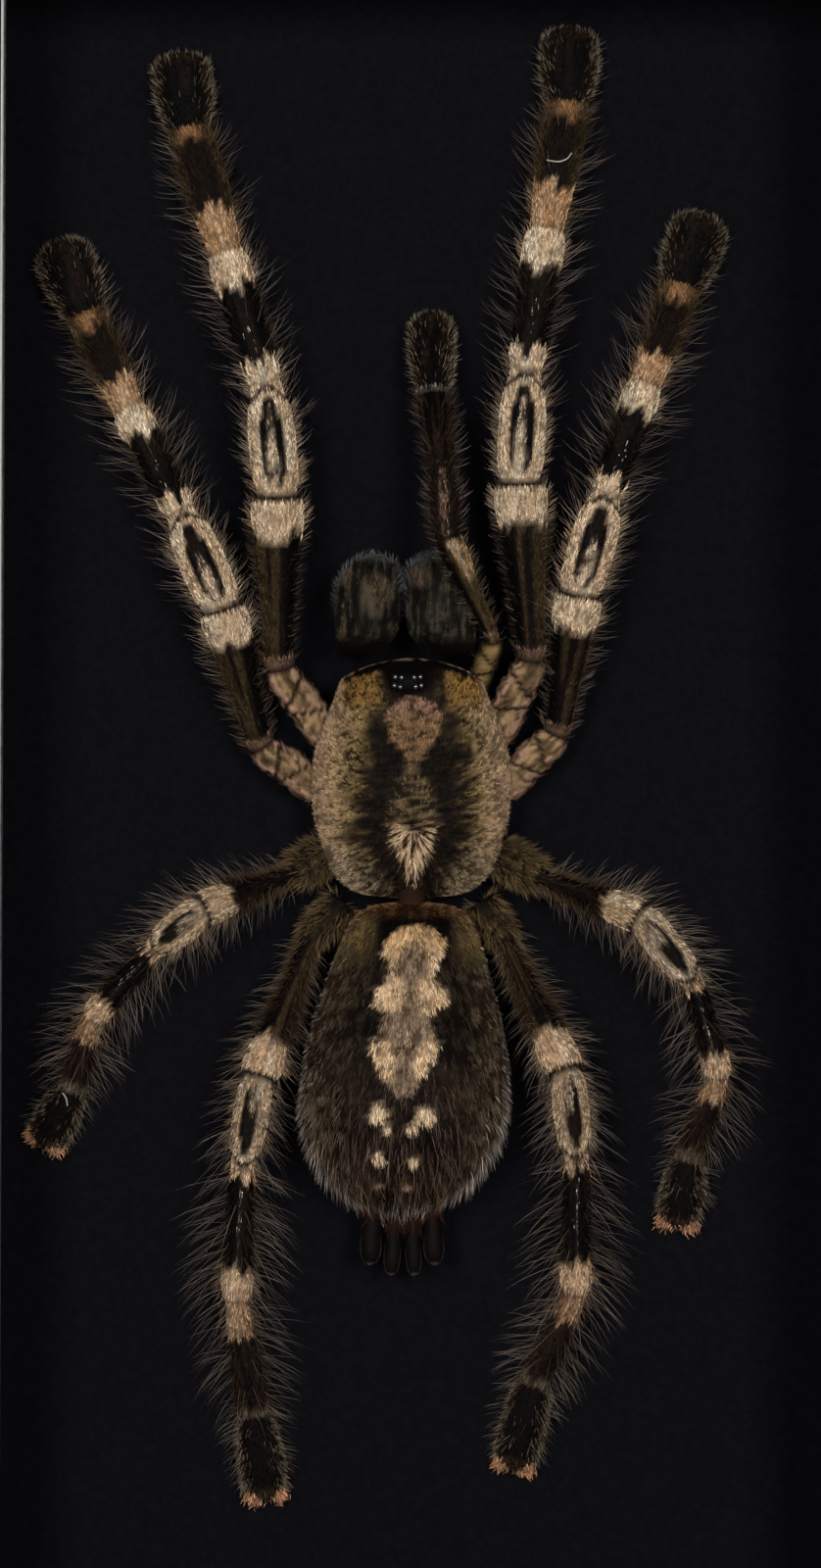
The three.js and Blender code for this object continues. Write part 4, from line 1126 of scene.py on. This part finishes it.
def spinneret_coat(node):
    base, tip, width = SPINNERETS[node]
    rng = np.random.default_rng(500 + list(SPINNERETS).index(node))
    t = np.sin(np.linspace(0, math.pi / 2, SPINNERET_RINGS))
    girth = (width + 0.1) * smooth_curve(t, SPINNERET_GIRTH)
    start, end = spot(*base, SPINNERET_HEIGHT), spot(*tip, SPINNERET_HEIGHT)
    middle = start + (end - start) * (0.04 + 0.94 * t)[:, None]
    along = unit(end - start)
    rings, q, _ = oval_rings(middle, along, girth, girth, SPINNERET_SIDES)
    skin = make_skin(rings, middle[0], middle[-1] + 0.06 * along, along, t=t[:, None], q=q)
    pile = sprout(skin, rng, SPINNERET_PILE, None, spinneret_tone)
    shag = sprout(skin, rng, SPINNERET_SHAG, ramp(0.5, 0.1, skin["t"]), tone(50, 26, 19))
    # Painted shade: the skin under the pile is darkened, for the shade between the hairs.
    coated_piece(f"{node}_coat", node, skin, spinneret_tone(skin) * 0.5, [pile, shag], body_skin)


# Materials

NOISE_DETAIL = 4.0
NOISE_ROUGHNESS = 0.55
NOISE_RANGE = (0.3, 0.7)


def node_material(name):
    material = bpy.data.materials.new(name)
    material.use_nodes = True
    return material, material.node_tree, material.node_tree.nodes["Principled BSDF"]


def set_inputs(tree, node, inputs):
    """Each input is linked to a socket, or set to a value."""
    for name, value in inputs.items():
        if isinstance(value, bpy.types.NodeSocket):
            tree.links.new(value, node.inputs[name])
        else:
            node.inputs[name].default_value = value


def add_node(tree, kind, inputs, output, **settings):
    node = tree.nodes.new(kind)
    for name, value in settings.items():
        setattr(node, name, value)
    set_inputs(tree, node, inputs)
    return node.outputs[output]


def add_noise(tree, scale, stretch=(1, 1, 1)):
    where = add_node(tree, "ShaderNodeTexCoord", {}, "Object")
    turned = add_node(tree, "ShaderNodeMapping", {"Scale": stretch, "Vector": where}, "Vector")
    return add_node(
        tree, "ShaderNodeTexNoise",
        {"Scale": scale, "Detail": NOISE_DETAIL, "Roughness": NOISE_ROUGHNESS, "Vector": turned}, "Fac")


def map_range(tree, value, low, high):
    ends = {"From Min": NOISE_RANGE[0], "From Max": NOISE_RANGE[1], "To Min": low, "To Max": high}
    return add_node(tree, "ShaderNodeMapRange", {"Value": value, **ends}, "Result")


def add_bump(tree, height, strength, distance):
    inputs = {"Strength": strength, "Distance": distance, "Height": height}
    return add_node(tree, "ShaderNodeBump", inputs, "Normal")


def toned_material(name, grain, bump):
    """A dull material coloured by the piece's own tones, with a fine grain."""
    material, tree, shader = node_material(name)
    tones = add_node(tree, "ShaderNodeAttribute", {}, "Color", attribute_name="Tone")
    pattern = add_noise(tree, grain)
    shade = add_node(
        tree, "ShaderNodeMix", {"Factor": 1, "A": tones, "B": map_range(tree, pattern, 0.7, 1.2)}, "Result",
        data_type="RGBA", blend_type="MULTIPLY")
    set_inputs(tree, shader, {
        "Base Color": shade, "Roughness": map_range(tree, pattern, 0.5, 0.7), "Specular IOR Level": 0.02})
    if bump:
        set_inputs(tree, shader, {"Normal": add_bump(tree, pattern, bump, 0.0002)})
    return material


def grained_material(
        name, dark, light, roughness, scale, bump, distance, stretch=(1, 1, 1), metallic=0, specular=0.5):
    """A solid colour with a grain or brushing along one way."""
    material, tree, shader = node_material(name)
    pattern = add_noise(tree, scale, stretch)
    shades = {"Factor": map_range(tree, pattern, 0, 1), "A": (*dark, 1), "B": (*light, 1)}
    set_inputs(tree, shader, {
        "Base Color": add_node(tree, "ShaderNodeMix", shades, "Result", data_type="RGBA"),
        "Roughness": map_range(tree, pattern, roughness - 0.08, roughness + 0.1), "Metallic": metallic,
        "Specular IOR Level": specular, "Normal": add_bump(tree, pattern, bump, distance)})
    return material


def gloss_material(name):
    material, tree, shader = node_material(name)
    set_inputs(tree, shader, {
        "Base Color": (0.004, 0.004, 0.005, 1), "Coat Weight": 1, "Coat Roughness": 0.03,
        "Roughness": map_range(tree, add_noise(tree, 1500), 0.06, 0.14)})
    return material


STAIN = ((0.009, 0.008, 0.007), (0.022, 0.019, 0.017))
leg_skin = toned_material("leg_skin", grain=900, bump=0.5)
body_skin = toned_material("body_skin", grain=900, bump=0.5)
coat_hair = toned_material("coat_hair", grain=400, bump=0)
eye_gloss = gloss_material("eye_gloss")
stained_upright = grained_material(
    "stained_upright", *STAIN, roughness=0.38, scale=90, stretch=(6, 6, 0.5), bump=0.35, distance=0.0003)
stained_level = grained_material(
    "stained_level", *STAIN, roughness=0.38, scale=90, stretch=(0.5, 6, 6), bump=0.35, distance=0.0003)
silver_leaf = grained_material(
    "silver_leaf", (0.10, 0.099, 0.096), (0.16, 0.158, 0.153), roughness=0.55, scale=500, bump=0.25,
    distance=0.0001, metallic=1)
black_card = grained_material(
    "black_card", (0.0020, 0.0020, 0.0026), (0.0028, 0.0028, 0.0035), roughness=0.85, scale=1400, bump=0.3,
    distance=0.0001, specular=0)
hardboard = grained_material(
    "hardboard", (0.17, 0.09, 0.045), (0.32, 0.19, 0.1), roughness=0.7, scale=700, bump=0.5,
    distance=0.0002, stretch=(1, 1, 0.45))
zinc_plate = grained_material(
    "zinc_plate", (0.42, 0.42, 0.4), (0.66, 0.65, 0.62), roughness=0.4, scale=900, bump=0.3,
    distance=0.0001, stretch=(0.3, 1, 3), metallic=1)
pale_floor = grained_material(
    "pale_floor", (0.62, 0.61, 0.59), (0.68, 0.67, 0.65), roughness=0.8, scale=30, bump=0.05, distance=0.0005,
    specular=0.2)


# The frame. An outline is (outwards, y), from the inner front corner

MITRE_GAP = 0.05
EDGE_GAP = 0.1
RABBET_STEP = 5
BOARD_GAP = 0.1
QUARTERS = ((1, 0), (0, 1), (-1, 0), (0, -1))


def rounded_profile(corners, radii, steps=5):
    """A closed outline through its corners, each rounded by its radius."""
    corners = np.array(corners, float)
    outline = []
    for i, corner in enumerate(corners):
        before = unit(corners[i - 1] - corner)
        after = unit(corners[(i + 1) % len(corners)] - corner)
        for t in np.linspace(0, 1, steps):
            outline.append(corner + radii[i] * ((1 - t) ** 2 * before + t * t * after))
    return np.array(outline)


def mitred_length(name, node, outline, half_opening, wall, turn, material):
    """A length of moulding with mitred ends, in place of its solid."""
    quarter = QUARTERS[turn]
    count = len(outline)
    rings = []
    for end in (-1, 1):
        along = end * (half_opening + outline[:, 0] - MITRE_GAP)
        up = wall + outline[:, 0]
        x = along * quarter[0] + up * quarter[1]
        z = up * quarter[0] - along * quarter[1]
        rings.append(np.stack([x, outline[:, 1], MIDDLE_Z + z], axis=1))
    points = np.concatenate(rings) * MM
    mesh = bpy.data.meshes.new(name)
    sides = [(i, i + count, (i + 1) % count + count, (i + 1) % count) for i in range(count)]
    caps = [tuple(range(count)), tuple(reversed(range(count, 2 * count)))]
    mesh.from_pydata([tuple(p) for p in points], [], sides + caps)
    mesh.materials.append(material)
    mesh.polygons.foreach_set("use_smooth", [True] * count + [False, False])
    mesh.update()
    mesh.set_sharp_from_angle(angle=math.radians(40))
    settle(add_object(name, mesh), node)


def frame_sides():
    low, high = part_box("rail_left")
    front, back = low[1] / MM, high[1] / MM
    outer = (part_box("rail_top")[1][2] / MM) - MIDDLE_Z
    edge_low, edge_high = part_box("silver_edge_left")
    sight_width = -edge_high[0] / MM
    sight_height = (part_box("silver_edge_top")[0][2]) / MM - MIDDLE_Z
    face = (edge_high[0] - edge_low[0]) / MM
    wall = face + EDGE_GAP
    rail = outer - sight_height - wall
    rabbet_y = BOARD_Y - BOARD_GAP
    step = RABBET_STEP
    rail_outline = rounded_profile(
        [(0, front), (rail, front), (rail, back), (step, back), (step, rabbet_y), (0, rabbet_y)],
        [1.3, 1.6, 0.5, 0.3, 0.1, 0.2])
    edge_front, edge_back = edge_low[1] / MM, edge_high[1] / MM
    edge_outline = rounded_profile(
        [(0, edge_front), (face, edge_front), (face, edge_back), (0, edge_back)], [0.45, 0.2, 0.1, 0.1])
    for turn, side in enumerate(("top", "right", "bottom", "left")):
        upright = turn % 2
        half, reach = (sight_height, sight_width) if upright else (sight_width, sight_height)
        mitred_length(
            f"rail_{side}_stained", f"rail_{side}", rail_outline, half + wall, reach + wall, turn,
            stained_upright if upright else stained_level)
        mitred_length(
            f"silver_edge_{side}_leafed", f"silver_edge_{side}", edge_outline, half, reach, turn,
            silver_leaf)


def finish_nodes():
    """Better materials for the solids that stay visible."""
    for name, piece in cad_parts.items():
        if name == "mount_board":
            piece.material_slots[0].material = black_card
        elif name == "back_panel":
            piece.material_slots[0].material = hardboard
        elif name.startswith("glazing_point") or name == "sawtooth_hanger":
            piece.material_slots[0].material = zinc_plate


# The camera has the photograph's centre, scale and lean, from straight in front

PHOTO_WIDTH = 838
PHOTO_HEIGHT = 1600
MM_PER_PIXEL = 0.11
PEDICEL_PIXEL = (420, 917)
VIEW_DISTANCE = 1500
VIEW_PLANE_HEIGHT = 7
SENSOR = 36

# Each lamp's place, size and power
LAMPS = {
    "left_box": ((-0.4, -1.3, 0.26), (0.3, 0.4), 19),
    "right_box": ((0.4, -1.3, 0.26), (0.3, 0.4), 19),
    "back_box": ((0.3, 1.3, 0.9), (0.8, 0.8), 12),
}
SKY = {"Color": (0.92, 0.94, 1, 1), "Strength": 0.16}
FLOOR_SIZE = 6
FLOOR_DROP = 0.0005


def make_camera():
    focus_x = (PHOTO_WIDTH / 2 - PEDICEL_PIXEL[0]) * MM_PER_PIXEL
    focus_z = (PEDICEL_PIXEL[1] - PHOTO_HEIGHT / 2) * MM_PER_PIXEL
    aim = to_frame(spot(focus_x, focus_z, VIEW_PLANE_HEIGHT))
    data = bpy.data.cameras.new("camera")
    data.sensor_fit = "VERTICAL"
    data.sensor_height = SENSOR
    data.lens = SENSOR * VIEW_DISTANCE / (PHOTO_HEIGHT * MM_PER_PIXEL)
    data.clip_end = 20
    camera = add_object("camera", data)
    camera.location = aim + VIEW_DISTANCE * MM * TO_VIEWER
    camera.rotation_euler = (math.pi / 2, LEAN, 0)
    bpy.context.scene.camera = camera


def make_light():
    for name, (place, size, power) in LAMPS.items():
        data = bpy.data.lights.new(name, "AREA")
        data.shape = "RECTANGLE"
        data.size, data.size_y = size
        data.energy = power
        light = add_object(name, data)
        light.location = place
        way = np.array((0, 0, MIDDLE_Z * MM)) - np.array(place)
        light.rotation_euler = (
            math.atan2(math.hypot(way[0], way[1]), -way[2]), 0, math.atan2(way[1], way[0]) - math.pi / 2)
    world = bpy.data.worlds.new("studio")
    world.use_nodes = True
    set_inputs(world.node_tree, world.node_tree.nodes["Background"], SKY)
    bpy.context.scene.world = world


def make_floor():
    bpy.ops.mesh.primitive_plane_add(size=FLOOR_SIZE, location=(0, 0, -FLOOR_DROP))
    floor = bpy.context.object
    floor.name = "floor"
    floor.data.materials.append(pale_floor)


finish_nodes()
make_camera()
frame_sides()
for limb in LIMBS:
    limb_coat(limb)
front_body_coat()
eyes()
abdomen_coat()
for jaw in CHELICERAE:
    jaw_coat(jaw)
for spinneret in SPINNERETS:
    spinneret_coat(spinneret)
make_light()
make_floor()
bpy.context.scene.view_settings.view_transform = "Standard"
